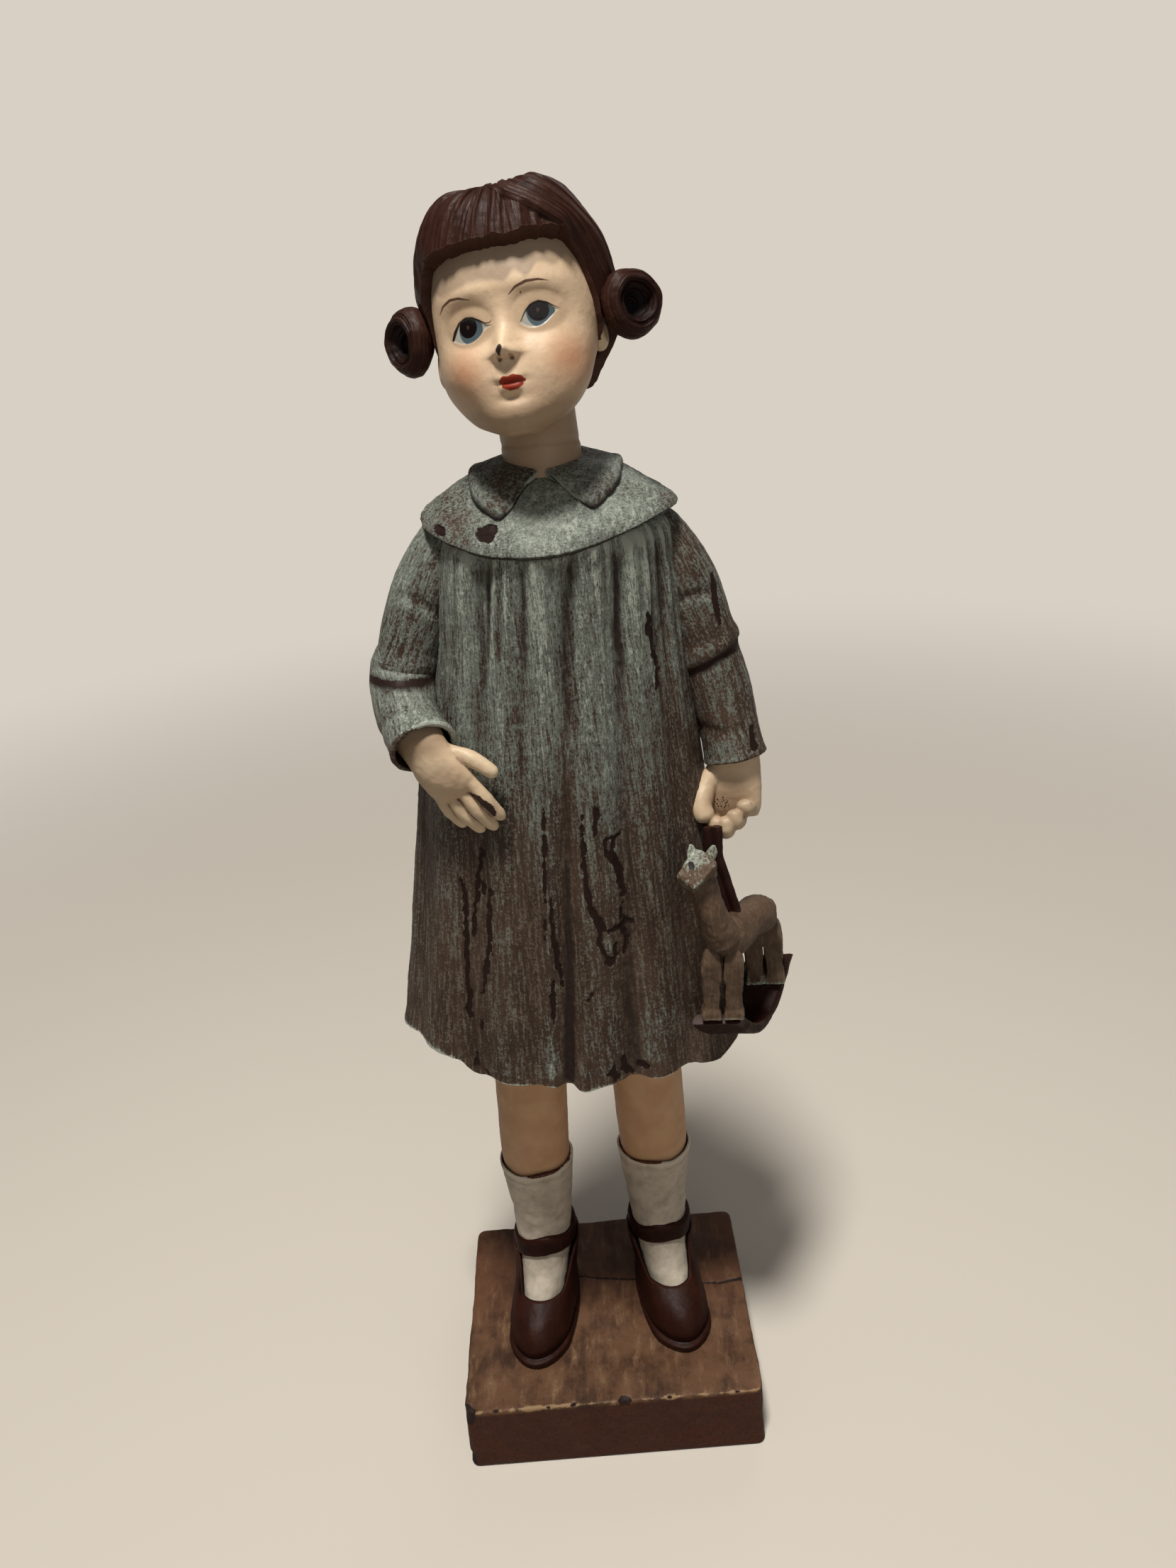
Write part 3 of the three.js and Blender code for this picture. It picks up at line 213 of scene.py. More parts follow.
def mesh_object(name, *skins):
    """One object from skins given in millimetres."""
    points, faces, first = [], [], 0
    for co, groups in skins:
        for group in facing_out(co, groups):
            faces.extend((group + first).tolist())
        points.append(co)
        first += len(co)
    mesh = bpy.data.meshes.new(name)
    mesh.from_pydata((np.concatenate(points) * MM).tolist(), [], faces)
    made = bpy.data.objects.new(name, mesh)
    bpy.context.scene.collection.objects.link(made)
    return made


def points_of(made):
    co = np.empty(len(made.data.vertices) * 3, np.float32)
    made.data.vertices.foreach_get("co", co)
    return co.reshape(-1, 3).astype(float) / MM


def place_points(made, points):
    made.data.vertices.foreach_set("co", (points * MM).astype(np.float32).ravel())
    made.data.update()


def normals_of(made):
    normals = np.empty(len(made.data.vertices) * 3, np.float32)
    made.data.vertex_normals.foreach_get("vector", normals)
    return normals.reshape(-1, 3).astype(float)


def apply_modifiers(made):
    bpy.context.view_layer.update()
    seen = made.evaluated_get(bpy.context.evaluated_depsgraph_get())
    fresh = bpy.data.meshes.new_from_object(seen)
    made.modifiers.clear()
    old = made.data
    made.data = fresh
    bpy.data.meshes.remove(old)
    fresh.name = made.name


def unite(made, tool):
    modifier = made.modifiers.new("union", "BOOLEAN")
    modifier.operation = "UNION"
    modifier.solver = "MANIFOLD"
    modifier.object = tool
    apply_modifiers(made)
    bpy.data.objects.remove(tool)


def blended(name, voxel, easing, *skins):
    """One cast body from several skins, with the joins between them filled and eased."""
    made = mesh_object(name, *skins)
    remesh = made.modifiers.new("blend", "REMESH")
    remesh.mode = "VOXEL"
    remesh.voxel_size = voxel * MM
    ease = made.modifiers.new("ease", "SMOOTH")
    ease.factor = 0.5
    ease.iterations = easing
    apply_modifiers(made)
    return made


def proudness(made, rounds):
    """How far each vertex stands out of its eased surroundings, in millimetres."""
    points, normals = points_of(made), normals_of(made)
    edges = np.empty(len(made.data.edges) * 2, np.int32)
    made.data.edges.foreach_get("vertices", edges)
    a, b = edges.reshape(-1, 2).T
    degree = np.bincount(a, minlength=len(points)) + np.bincount(b, minlength=len(points))
    eased = points.copy()
    for _ in range(rounds):
        for k in range(3):
            total = np.bincount(a, eased[b, k], len(points)) + np.bincount(b, eased[a, k], len(points))
            eased[:, k] = total / degree
    return ((points - eased) * normals).sum(1)


def set_attribute(made, name, values):
    kind = "FLOAT" if values.ndim == 1 else "FLOAT_VECTOR"
    layer = made.data.attributes.new(name, kind, "POINT")
    layer.data.foreach_set("value" if values.ndim == 1 else "vector", values.astype(np.float32).ravel())


def push_out(made, shift):
    """Moves each vertex along its normal by that many millimetres."""
    place_points(made, points_of(made) + normals_of(made) * shift[:, None])


def roughen(made, *layers):
    """Moves the surface out and in by layers of (depth, grain size, seed)."""
    points = points_of(made)
    push_out(made, sum(depth * noise(points, size, seed) for depth, size, seed in layers))


def add_piece(made, nodes, paint, slot, rounds, flow=None, crease=35, **marks):
    """Dresses a finished mesh: paint, the attributes that the paint reads, and its CAD node.

    The attribute proud compares the surface with itself eased that many rounds.
    """
    points = points_of(made)
    set_attribute(made, "proud", proudness(made, rounds))
    set_attribute(made, "flow", points if flow is None else flow)
    marks.setdefault("chip", np.full(len(points), OUTSIDE))
    for name, values in marks.items():
        set_attribute(made, name, values)
    made.data.shade_smooth()
    made.data.set_sharp_from_angle(angle=math.radians(crease))
    made.data.materials.clear()
    made.data.materials.append(paint)
    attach(made, BODY)
    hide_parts(*nodes)


# Paint
def rgb(text):
    parts = [int(text[k : k + 2], 16) / 255 for k in (1, 3, 5)]
    return [*(c / 12.92 if c < 0.04045 else ((c + 0.055) / 1.055) ** 2.4 for c in parts), 1.0]


class Nodes:
    """The node tree of a material or a world, with short ways to add to it."""

    def __init__(self, owner):
        owner.use_nodes = True
        self.tree = owner.node_tree

    def put(self, socket, value):
        if isinstance(value, bpy.types.NodeSocket):
            self.tree.links.new(value, socket)
        else:
            socket.default_value = value

    def node(self, kind, inputs, output=0, **settings):
        made = self.tree.nodes.new(kind)
        for key, value in settings.items():
            setattr(made, key, value)
        for key, value in inputs.items():
            self.put(made.inputs[key], value)
        return made.outputs[output]

    def math(self, operation, a, b):
        return self.node("ShaderNodeMath", {0: a, 1: b}, operation=operation)

    def step(self, value, low, high):
        inputs = {"Value": value, "From Min": low, "From Max": high}
        return self.node("ShaderNodeMapRange", inputs, interpolation_type="SMOOTHSTEP")

    def blend(self, share, a, b):
        return self.node("ShaderNodeMix", {0: share, 6: a, 7: b}, 2, data_type="RGBA")


class Paint(Nodes):
    """A painted finish, built up in layers over a first coat."""

    def __init__(self, name, colour, roughness):
        self.material = bpy.data.materials.new(name)
        super().__init__(self.material)
        self.shader = self.tree.nodes["Principled BSDF"]
        self.flow = self.attribute("flow", "Vector")
        self.colour = rgb(colour)
        self.roughness = roughness
        self.reliefs = []

    def attribute(self, name, output="Fac"):
        return self.node("ShaderNodeAttribute", {}, output, attribute_name=name)

    def sum(self, *terms):
        """The sum of (value, weight) pairs and plain numbers."""
        total = 0.0
        for term in terms:
            value, weight = term if isinstance(term, tuple) else (term, 1.0)
            inputs = {0: value, 1: weight, 2: total}
            total = self.node("ShaderNodeMath", inputs, operation="MULTIPLY_ADD")
        return total

    def noise(self, size, detail, rough=0.5, seed=0.0):
        """Noise from 0 to 1 with grains of size (x, y, z) millimetres along the flow."""
        size = size if isinstance(size, tuple) else (size, size, size)
        scale = [1 / s for s in size]
        spread = self.node("ShaderNodeVectorMath", {0: self.flow, 1: scale}, operation="MULTIPLY")
        moved = self.node("ShaderNodeVectorMath", {0: spread, 1: [seed, seed, seed]}, operation="ADD")
        inputs = {"Vector": moved, "Scale": 1.0, "Detail": detail, "Roughness": rough}
        return self.node("ShaderNodeTexNoise", inputs)

    def layer(self, share, colour, roughness=None, strength=1.0):
        if strength != 1.0:
            share = self.math("MULTIPLY", share, strength)
        self.colour = self.blend(share, self.colour, rgb(colour))
        if roughness is not None:
            inputs = {0: share, 2: self.roughness, 3: roughness}
            self.roughness = self.node("ShaderNodeMix", inputs, data_type="FLOAT")

    def mark(self, name, colour, edge, roughness=None, ragged=0.0, strength=1.0):
        """A painted mark: a layer where the attribute of that name is above zero."""
        inside = self.attribute(name)
        if ragged:
            inside = self.sum(inside, (self.noise(0.45, 3.0, 0.65), ragged), -ragged / 2)
        self.layer(self.step(inside, -edge, edge), colour, roughness, strength)

    def relief(self, value, depth):
        """Adds depth millimetres of fine relief."""
        self.reliefs.append((value, depth))

    def finish(self, specular, coat, coat_roughness):
        bump = {"Height": self.sum(*self.reliefs), "Distance": MM, "Strength": 1.0}
        inputs = {
            "Base Color": self.colour, "Roughness": self.roughness, "Specular IOR Level": specular,
            "Coat Weight": coat, "Coat Roughness": coat_roughness,
            "Normal": self.node("ShaderNodeBump", bump),
        }
        for key, value in inputs.items():
            self.put(self.shader.inputs[key], value)
        return self.material


def dress_paint(name):
    """Grey teal dragged over dark brown with a dry brush, worn to near black in places."""
    p = Paint(name, "#38291f", 0.62)
    broad = p.noise((5.0, 5.0, 18.0), 3.0, 0.55)
    strokes = p.noise((0.5, 0.5, 5.0), 3.0, 0.65, 3.0)
    fine = p.noise((0.2, 0.2, 1.2), 3.0, 0.68, 7.0)
    grit = p.noise(0.4, 3.0, 0.75, 11.0)
    proud, cover = p.attribute("proud"), p.attribute("cover")
    p.layer(p.step(broad, 0.35, 0.65), "#4a382d")
    p.layer(p.step(p.sum((strokes, 0.5), (grit, 0.5)), 0.47, 0.6), "#6b5e51", strength=0.9)
    dry_brush = [(strokes, 0.65), (fine, 0.7), (broad, 0.25), (grit, 0.8)]
    teal = p.sum(*dry_brush, (cover, 0.5), (proud, 0.6), -1.47)
    p.layer(p.step(teal, -0.04, 0.05), "#686d65", 0.5, 0.9)
    p.layer(p.step(teal, 0.1, 0.26), "#8a9186", 0.42, 0.85)
    bright = p.sum((fine, 0.6), (strokes, 0.45), (grit, 0.45), (cover, 0.35), (proud, 1.0), -1.02)
    p.layer(p.step(bright, 0.1, 0.24), "#aeb3a6", 0.4, 0.85)
    pits = p.sum((fine, -0.5), (grit, -0.6), (proud, -0.6), 0.42)
    p.layer(p.step(pits, 0.0, 0.1), "#30211a", 0.6, 0.75)
    recess = p.sum((proud, -1.0), (grit, 0.12), -0.06)
    p.layer(p.step(recess, 0.02, 0.26), "#22150f", 0.6, 0.92)
    p.mark("shade", "#1f130e", 0.5, 0.7, 0.5)
    p.mark("chip", "#1e0902", 0.04, 0.75, 0.6)
    p.relief(strokes, 0.12)
    p.relief(fine, 0.10)
    p.relief(grit, 0.12)
    return p.finish(0.24, 0.05, 0.35)


# Rows: name, colour, softness of the edge, and if any: roughness, raggedness, strength
FACE_MARKS = [
    # Painted shadow: the next row darkens the forehead under the fringe, where the fringe shades it.
    ("painted_fringe_shadow", "#988470", 0.4, None, 0.0, 0.75),
    ("blush", "#b3683f", 2.2, None, 0.0, 0.55),
    ("lid_shade", "#a08467", 0.7, None, 0.0, 0.35),
    ("eye_white", "#aaa89d", 0.06, 0.35),
    ("iris", "#4c5a60", 0.06, 0.3),
    ("pupil", "#0e0506", 0.06, 0.22),
    ("glint", "#5c4238", 0.1, 0.2, 0.0, 0.7),
    ("lid", "#24100b", 0.035, 0.45),
    ("brow", "#5b3c28", 0.05, 0.45, 0.04),
    ("lip", "#872506", 0.07, 0.6, 0.12),
    ("lip_line", "#5d1b10", 0.1, 0.45, 0.1),
    # Painted shade: the next row darkens the hollows of the nostrils.
    ("nostril_shade", "#6b4d38", 0.14, 0.5, 0.0, 0.45),
]


def skin_paint(name, colour, lit, marks=()):
    """Warm ivory with brown washed into the recesses, under a satin varnish."""
    p = Paint(name, colour, 0.5)
    broad = p.noise(5.0, 2.0, 0.5)
    fine = p.noise(0.7, 3.0, 0.6, 5.0)
    proud = p.attribute("proud")
    p.layer(p.step(broad, 0.35, 0.7), lit, strength=0.4)
    p.layer(p.step(fine, 0.5, 0.8), "#b8946f", strength=0.3)
    p.layer(p.step(p.sum((proud, 1.0), (fine, 0.06)), 0.07, 0.25), lit, 0.42, 0.7)
    p.layer(p.step(p.sum((proud, -1.0), (fine, 0.1)), 0.09, 0.24), "#5a341f", 0.55, 0.95)
    p.mark("shade", "#7c6049", 1.0, strength=0.62)
    for mark in marks:
        p.mark(*mark)
    p.mark("chip", "#2c1710", 0.05, 0.6, 0.2)
    p.relief(fine, 0.05)
    p.relief(broad, 0.12)
    return p.finish(0.3, 0.08, 0.35)


def hair_paint():
    p = Paint("hair_paint", "#2c140d", 0.5)
    strands = p.noise((0.35, 0.35, 7.0), 3.0, 0.6)
    grit = p.noise(0.6, 3.0, 0.7, 4.0)
    proud = p.attribute("proud")
    p.layer(p.step(strands, 0.42, 0.66), "#41271d", 0.45, 0.8)
    p.layer(p.step(p.sum((proud, 1.0), (grit, 0.1)), 0.09, 0.3), "#4c3126", 0.42, 0.6)
    p.layer(p.step(proud, -0.03, -0.2), "#120503", 0.5)
    p.mark("chip", "#090202", 0.5, 0.6, 0.15)
    p.relief(strands, 0.14)
    p.relief(grit, 0.06)
    return p.finish(0.13, 0.03, 0.35)


def shoe_paint(name, colour, lit):
    p = Paint(name, colour, 0.5)
    fine = p.noise(0.5, 3.0, 0.65)
    scuff = p.noise((2.2, 0.3, 0.3), 3.0, 0.6, 6.0)
    proud = p.attribute("proud")
    p.layer(p.step(p.noise(3.0, 2.0), 0.45, 0.7), lit, strength=0.3)
    p.layer(p.step(p.sum((proud, 1.0), (fine, 0.12)), 0.14, 0.32), lit, 0.38, 0.6)
    p.layer(p.step(scuff, 0.66, 0.76), lit, 0.5, 0.4)
    p.layer(p.step(proud, -0.05, -0.25), "#0d0303", 0.5)
    p.relief(fine, 0.05)
    p.relief(p.noise(1.6, 2.0), 0.08)
    return p.finish(0.12, 0.02, 0.35)


def sock_paint():
    p = Paint("sock_paint", "#c0b4a3", 0.5)
    broad = p.noise(2.6, 3.0, 0.6)
    fine = p.noise(0.35, 3.0, 0.6, 8.0)
    proud = p.attribute("proud")
    p.layer(p.step(broad, 0.35, 0.7), "#9c9080", strength=0.7)
    p.layer(p.step(p.sum((proud, 1.0), (fine, 0.08)), 0.04, 0.22), "#d6cbb9", 0.42, 0.8)
    p.layer(p.step(p.sum((fine, 0.6), (broad, 0.4)), 0.64, 0.72), "#7a6f62", strength=0.4)
    p.layer(p.step(proud, -0.05, -0.25), "#54402c", 0.6, 0.8)
    p.mark("chip", "#552b1b", 0.05, 0.6, 0.25)
    p.relief(fine, 0.04)
    p.relief(broad, 0.06)
    return p.finish(0.3, 0.05, 0.3)


def block_paint():
    """Mottled brown, with ochre showing where the edges are rubbed."""
    p = Paint("block_paint", "#4f3522", 0.62)
    broad = p.noise((7.0, 7.0, 4.0), 4.0, 0.62)
    drag = p.noise((1.8, 6.0, 1.8), 3.0, 0.65, 5.0)
    fine = p.noise(0.6, 4.0, 0.7, 9.0)
    proud = p.attribute("proud")
    p.layer(p.step(broad, 0.4, 0.62), "#664730", strength=0.9)
    p.layer(p.step(drag, 0.5, 0.72), "#775b41", 0.55, 0.7)
    p.layer(p.step(p.sum((broad, 0.5), (drag, 0.5)), 0.5, 0.36), "#321e12", 0.65, 0.8)
    p.layer(p.step(p.sum((drag, 0.5), (fine, 0.5)), 0.56, 0.7), "#8f7355", 0.5, 0.5)
    p.mark("side", "#431b07", 0.3, strength=0.9)
    p.mark("shade", "#5a2e18", 1.6, strength=0.35)
    p.mark("rub", "#9a7d5a", 0.12, 0.6, 1.0, 0.8)
    p.layer(p.step(proud, -0.06, -0.2), "#20100a", 0.65)
    p.mark("chip", "#22110a", 0.08, 0.7, 0.4)
    p.relief(fine, 0.10)
    p.relief(drag, 0.12)
    return p.finish(0.3, 0.05, 0.4)


def horse_paint():
    p = Paint("horse_paint", "#54402f", 0.6)
    grain = p.noise((0.3, 0.3, 3.0), 3.0, 0.65)
    broad = p.noise(3.0, 3.0, 0.6, 3.0)
    grit = p.noise(0.4, 3.0, 0.7, 8.0)
    proud, cover = p.attribute("proud"), p.attribute("cover")
    p.layer(p.step(grain, 0.42, 0.66), "#665444", strength=0.8)
    p.layer(p.step(broad, 0.5, 0.72), "#38261b", strength=0.6)
    p.layer(p.step(p.sum((proud, 1.0), (grain, 0.12)), 0.25, 0.5), "#8a7a66", 0.5, 0.4)
    worn = p.sum((broad, 0.5), (grain, 0.6), (grit, 0.8), (cover, 0.7), (proud, 0.4), -1.45)
    p.layer(p.step(worn, 0.0, 0.12), "#8a9184", 0.5, 0.85)
    p.layer(p.step(worn, 0.18, 0.3), "#bcc2b2", 0.4, 0.85)
    p.layer(p.step(proud, -0.04, -0.2), "#1d0e09", 0.65)
    p.mark("chip", "#120504", 0.06, 0.6, 0.2)
    p.relief(grain, 0.12)
    p.relief(grit, 0.08)
    return p.finish(0.3, 0.08, 0.35)


# Block
BLOCK = dict(width=50.8, depth=40.8, height=12.6, corner=1.6, edge=0.5, draft_x=0.2, draft_y=0.9)
BLOCK_AROUND = 640  # points in each ring
TOP_HALF_X = BLOCK["width"] / 2 - BLOCK["draft_x"]
TOP_HALF_Y = BLOCK["depth"] / 2 - BLOCK["draft_y"]
# The seam across the top: rows of x, y and half width
SEAM_LINE = [
    (-6.5, 6.7, 0.1), (-0.3, 5.6, 0.22), (4.7, 4.9, 0.2), (12.0, 3.6, 0.1), (17.8, 2.8, 0.16),
    (21.1, 2.6, 0.25), (25.5, 3.2, 0.5),
]
# Notches in the front top edge: rows of x and size
NOTCHES = [
    (-24.3, 0.9), (-19.8, 0.5), (-16.3, 0.4), (-10.9, 0.5), (-6.7, 0.45), (1.8, 1.05), (9.4, 0.6),
    (20.6, 0.4),
]
# Chips on the right front corner: rows of size, flatness and height
CORNER_CHIPS = [(2.0, 0.5, BLOCK["height"] - 0.6), (1.2, 0.4, 1.5)]
FEET = [(-9.7, 6), (10.5, 6)]  # where the shoes shade the top


def rounded_outline(half_x, half_y, corner, count):
    """count points round a rectangle with round corners, evenly along it."""
    arcs = []
    for k, (sx, sy) in enumerate([(1, -1), (1, 1), (-1, 1), (-1, -1)]):
        angle = np.linspace((k - 1) * TAU / 4, k * TAU / 4, 9)
        x = sx * (half_x - corner) + corner * np.cos(angle)
        y = sy * (half_y - corner) + corner * np.sin(angle)
        arcs.append(np.stack([x, y], -1))
    line = np.concatenate([*arcs, arcs[0][:1]])
    along = np.concatenate([[0], np.cumsum(np.hypot(*np.diff(line, axis=0).T))])
    wanted = np.arange(count) / count * along[-1]
    return np.stack([np.interp(wanted, along, line[:, k]) for k in (0, 1)], -1)


def block_rings():
    """Rings from the middle of the foot, up the walls, to the middle of the top, before the draft."""
    half_x, half_y = BLOCK["width"] / 2, BLOCK["depth"] / 2
    edge, height = BLOCK["edge"], BLOCK["height"]

    def ring(inset, z, share=1.0):
        outline = rounded_outline(half_x - inset, half_y - inset, BLOCK["corner"] - inset, BLOCK_AROUND)
        return np.concatenate([outline * share, np.full((BLOCK_AROUND, 1), z)], -1)

    def rounding(count):
        """The inset and rise of rings round an edge, from the flat to the wall."""
        angles = np.linspace(0, TAU / 4, count)
        return [(edge * (1 - math.sin(angle)), edge * (1 - math.cos(angle))) for angle in angles]

    foot = [ring(edge, 0.0, share) for share in np.linspace(0.04, 0.96, 10)]
    low_edge = [ring(inset, rise) for inset, rise in rounding(5)]
    walls = [ring(0, z) for z in np.linspace(edge, height - edge, 34)[1:-1]]
    high_edge = [ring(inset, height - rise) for inset, rise in rounding(7)[::-1]]
    top = [ring(edge, height, share) for share in np.linspace(0.985, 0.03, 76)]
    return np.array(foot + low_edge + walls + high_edge + top)


def block_bite(x, y, z):
    """How far inside a notch or a chip each place lies."""
    bite = []
    for place, size in NOTCHES:
        away = (x - place) ** 2 + (y + TOP_HALF_Y) ** 2 * 0.8 + (z - BLOCK["height"]) ** 2 * 1.1
        bite.append(size - np.sqrt(away))
    for size, flatness, level in CORNER_CHIPS:
        away = (x + TOP_HALF_X) ** 2 + (y + TOP_HALF_Y) ** 2 + flatness * (z - level) ** 2
        bite.append(size - np.sqrt(away))
    return np.maximum.reduce(bite)


def make_block():
    height = BLOCK["height"]
    made = mesh_object("block_body", loft(block_rings()))
    points = points_of(made)
    up = points[:, 2] / height
    points[:, 0] *= 1 - 2 * BLOCK["draft_x"] * up / BLOCK["width"]
    points[:, 1] *= 1 - 2 * BLOCK["draft_y"] * up / BLOCK["depth"]
    place_points(made, points)
    x, y, z = points.T
    top = smooth(height - 0.6, height - 0.1, z)
    ground = smooth(0.2, 1.5, z)
    seam = stroke(x, y, SEAM_LINE) * top
    bite = block_bite(x, y, z) + 0.25 * noise(points, 0.7, 5)
    wear = 0.16 * noise(points, 5.0, 1) + 0.07 * noise(points, 1.4, 2)
    wear = wear + 0.12 * noise(points, (3.0, 9.0, 3.0), 3)
    sunk = 0.3 * smooth(-0.1, 0.15, seam) * top + 0.4 * smooth(-0.1, 0.4, bite)
    push_out(made, np.minimum((wear * ground - 0.12) - sunk * ground, 0))
    behind = smooth(-4, 4, y) * 2.0 - 1.0
    under_feet = [2.5 - np.hypot((x - foot_x) / 3.4, (y - foot_y) / 3.2) * 2.4 for foot_x, foot_y in FEET]
    shade = np.maximum.reduce([behind, *under_feet])
    rub = 0.15 + 0.35 * line_noise(x, 2.6, 6) + 0.25 * line_noise(x, 0.9, 7)
    rub = rub - np.hypot(y + TOP_HALF_Y - 0.15, z - height + 0.1)
    add_piece(
        made, ["block"], block_paint(), "block_paint", 10, chip=np.maximum(bite, seam - 0.05),
        shade=shade * top - 3 * (1 - top), side=height - 0.7 - z, rub=rub,
    )


# Legs and feet, each in its own frame with its origin on the block
LEG = dict(spacing=20.6, centre_x=0.2, top=84.2, in_sock=7, lean={-1: 1.0, 1: 0.6})
SET_BACK = dict(right=4.6, left=5.5)
FOOT_TURN = dict(right=-0.2, left=0.19)
SOCK = dict(top=45.4, sole_gap=1.4, half_width=6.4, instep=13.0, heel=6.3)
SHOE = dict(height=13.6, half_width=5.7, toe=16.8, heel=8.0, heel_taper=0.13, wall=0.5)
SHOE_STRAP = dict(width=3.2, thickness=0.75, raised=0.5, dip=1.3, slant={-1: -0.5, 1: 0.1})
SOCK_HEIGHT = SOCK["top"] - BLOCK["height"]
LEG_RADII = [[SOCK_HEIGHT - 1.5, 5.6], [34.5, 5.85], [48.0, 5.95], [72.0, 6.0]]
# Rows for the rims that turn inwards: share of the width, or distance inwards, and rise
SOCK_RIM = ((0.985, 0.22), (0.95, 0.25), (0.925, 0.05), (0.91, -0.7), (0.9, -2.0))
SHOE_RIM = ((0.12, 0.14), (0.35, 0.16), (0.6, 0.0), (0.75, -0.4), (0.85, -1.6))
# Rows: share of the height, then shares of the reach forward, the reach back and the half width
SOCK_SHARES = [
    [0, 0.9, 0.8, 0.5], [0.09, 0.94, 0.94, 0.6], [0.16, 0.88, 1, 0.65], [0.23, 0.75, 0.98, 0.67],
    [0.31, 0.59, 0.92, 0.69], [0.4, 0.48, 0.84, 0.72], [0.5, 0.41, 0.77, 0.77],
    [0.66, 0.39, 0.82, 0.83], [0.84, 0.43, 0.93, 0.92], [1, 0.49, 1.01, 1],
]
SHOE_SHARES = [
    [0, 1.02, 1.02, 0.99], [0.1, 1.03, 1.03, 1], [0.125, 0.99, 0.985, 0.94], [0.25, 1, 1.01, 0.98],
    [0.37, 0.955, 1.01, 0.95], [0.47, 0.86, 1, 0.93], [0.56, 0.72, 0.97, 0.93],
    [0.64, 0.59, 0.94, 0.95], [0.78, 0.48, 0.9, 0.99], [1, 0.41, 0.86, 1.06],
]
# Rows: share of the toe's reach, share of the height
TOPLINE_SHARES = [[-0.52, 0.6], [-0.46, 0.63], [-0.37, 0.7], [-0.28, 0.82], [-0.2, 1]]
TOPLINE_SKEW = 0.25
OPENING_Y = -3  # the middle of the shoe's opening


def foot_place(side, name, points):
    angle = FOOT_TURN[name]
    x, y, z = points[..., 0], points[..., 1], points[..., 2]
    turned = [x * math.cos(angle) - y * math.sin(angle), x * math.sin(angle) + y * math.cos(angle)]
    at_x = LEG["centre_x"] + side * LEG["spacing"] / 2
    return np.stack([turned[0] + at_x, turned[1] + SET_BACK[name], z + BLOCK["height"]], -1)


def sock_ring(turn, z, extra):
    share = (z - SOCK["sole_gap"]) / (SOCK_HEIGHT - SOCK["sole_gap"])
    front, back, width = table_at(SOCK_SHARES, share)
    reach, heel = SOCK["instep"] * front + extra, SOCK["heel"] * back + extra
    half = (heel + reach) / 2
    ring = oval(turn, SOCK["half_width"] * width + extra, half, half)
    ring[..., 1] += (heel - reach) / 2
    ring[..., 2] = z
    return ring


def shoe_ring(turn, share):
    front, back, width = table_at(SHOE_SHARES, share)
    reach, heel = SHOE["toe"] * front, SHOE["heel"] * back
    half = (heel + reach) / 2
    ring = oval(turn, SHOE["half_width"] * width, half, half)
    ahead = np.cos(turn * TAU)
    widening = SHOE["heel_taper"] * ahead + 0.1 * swell(ahead - 0.72, 0.3)
    ring[..., 0] *= 1 + (1 - share) * widening
    ring[..., 1] += (heel - reach) / 2
    ring[..., 2] = SHOE["height"] * share
    return ring


def make_sock(side, name, paint):
    turn = turns(180)
    z = steps(150, SOCK["sole_gap"], SOCK_HEIGHT)
    creases = 0.22 * swell(z - 17.5, 1.2) * np.cos(turn * TAU * 2 + 1)
    creases = creases + 0.16 * swell(z - 21.5, 1.0) * np.cos(turn * TAU * 3)
    creases = creases - 0.18 * swell(z - SOCK_HEIGHT + 1.6, 0.35) * (0.6 + 0.4 * np.cos(turn * TAU * 2))
    body = sock_ring(turn, np.broadcast_to(z, creases.shape), creases)
    dip = 0.35 * np.cos(turn * TAU * 2 + side) + 0.2 * np.cos(turn * TAU * 5 + 2 * side)
    body[..., 2] += dip * smooth(SOCK_HEIGHT - 4, SOCK_HEIGHT, z)
    rim = [body[-1] * [share, share, 1] + [0, 0, rise] for share, rise in SOCK_RIM]
    rings = foot_place(side, name, np.concatenate([body, rim]))
    made = mesh_object(f"{name}_sock_knit", loft(rings))
    roughen(made, (0.10, 2.2, 3 + side), (0.05, 0.7, 4))
    points = points_of(made)
    ragged = points[:, 2] - (SOCK["top"] + 0.1) + 0.3 * noise(points, (2.5, 2.5, 1.0), 9)
    add_piece(made, [f"{name}_sock"], paint, "sock_paint", 20, chip=ragged * 0.5 - 0.12)


def make_leg(side, name, paint):
    bottom, turn = SOCK_HEIGHT - LEG["in_sock"], turns(120)
    z = steps(90, bottom, LEG["top"] - BLOCK["height"])
    radius = curve_at([[bottom, 5.1], *LEG_RADII], z)
    calf = 0.35 * swell(z - 40, 9) * np.maximum(0, -np.cos(turn * TAU))
    knee = 0.3 * swell(z - 61, 3.5) * np.maximum(0, np.cos(turn * TAU)) ** 3
    ring = oval(turn, radius, radius + knee, radius + calf)
    ring[..., 0] -= side * LEG["lean"][side] * smooth(28, 62, z)
    ring[..., 2] = z
    made = mesh_object(f"{name}_leg_skin", loft(foot_place(side, name, ring)))
    roughen(made, (0.08, 4.0, 6 + side), (0.03, 1.0, 7))
    height = points_of(made)[:, 2]
    shade = np.maximum(height - 72.0, 1.2 * (SOCK["top"] + 0.5 - height))
    add_piece(made, [f"{name}_leg"], paint, "skin_paint", 20, shade=shade * 0.5)


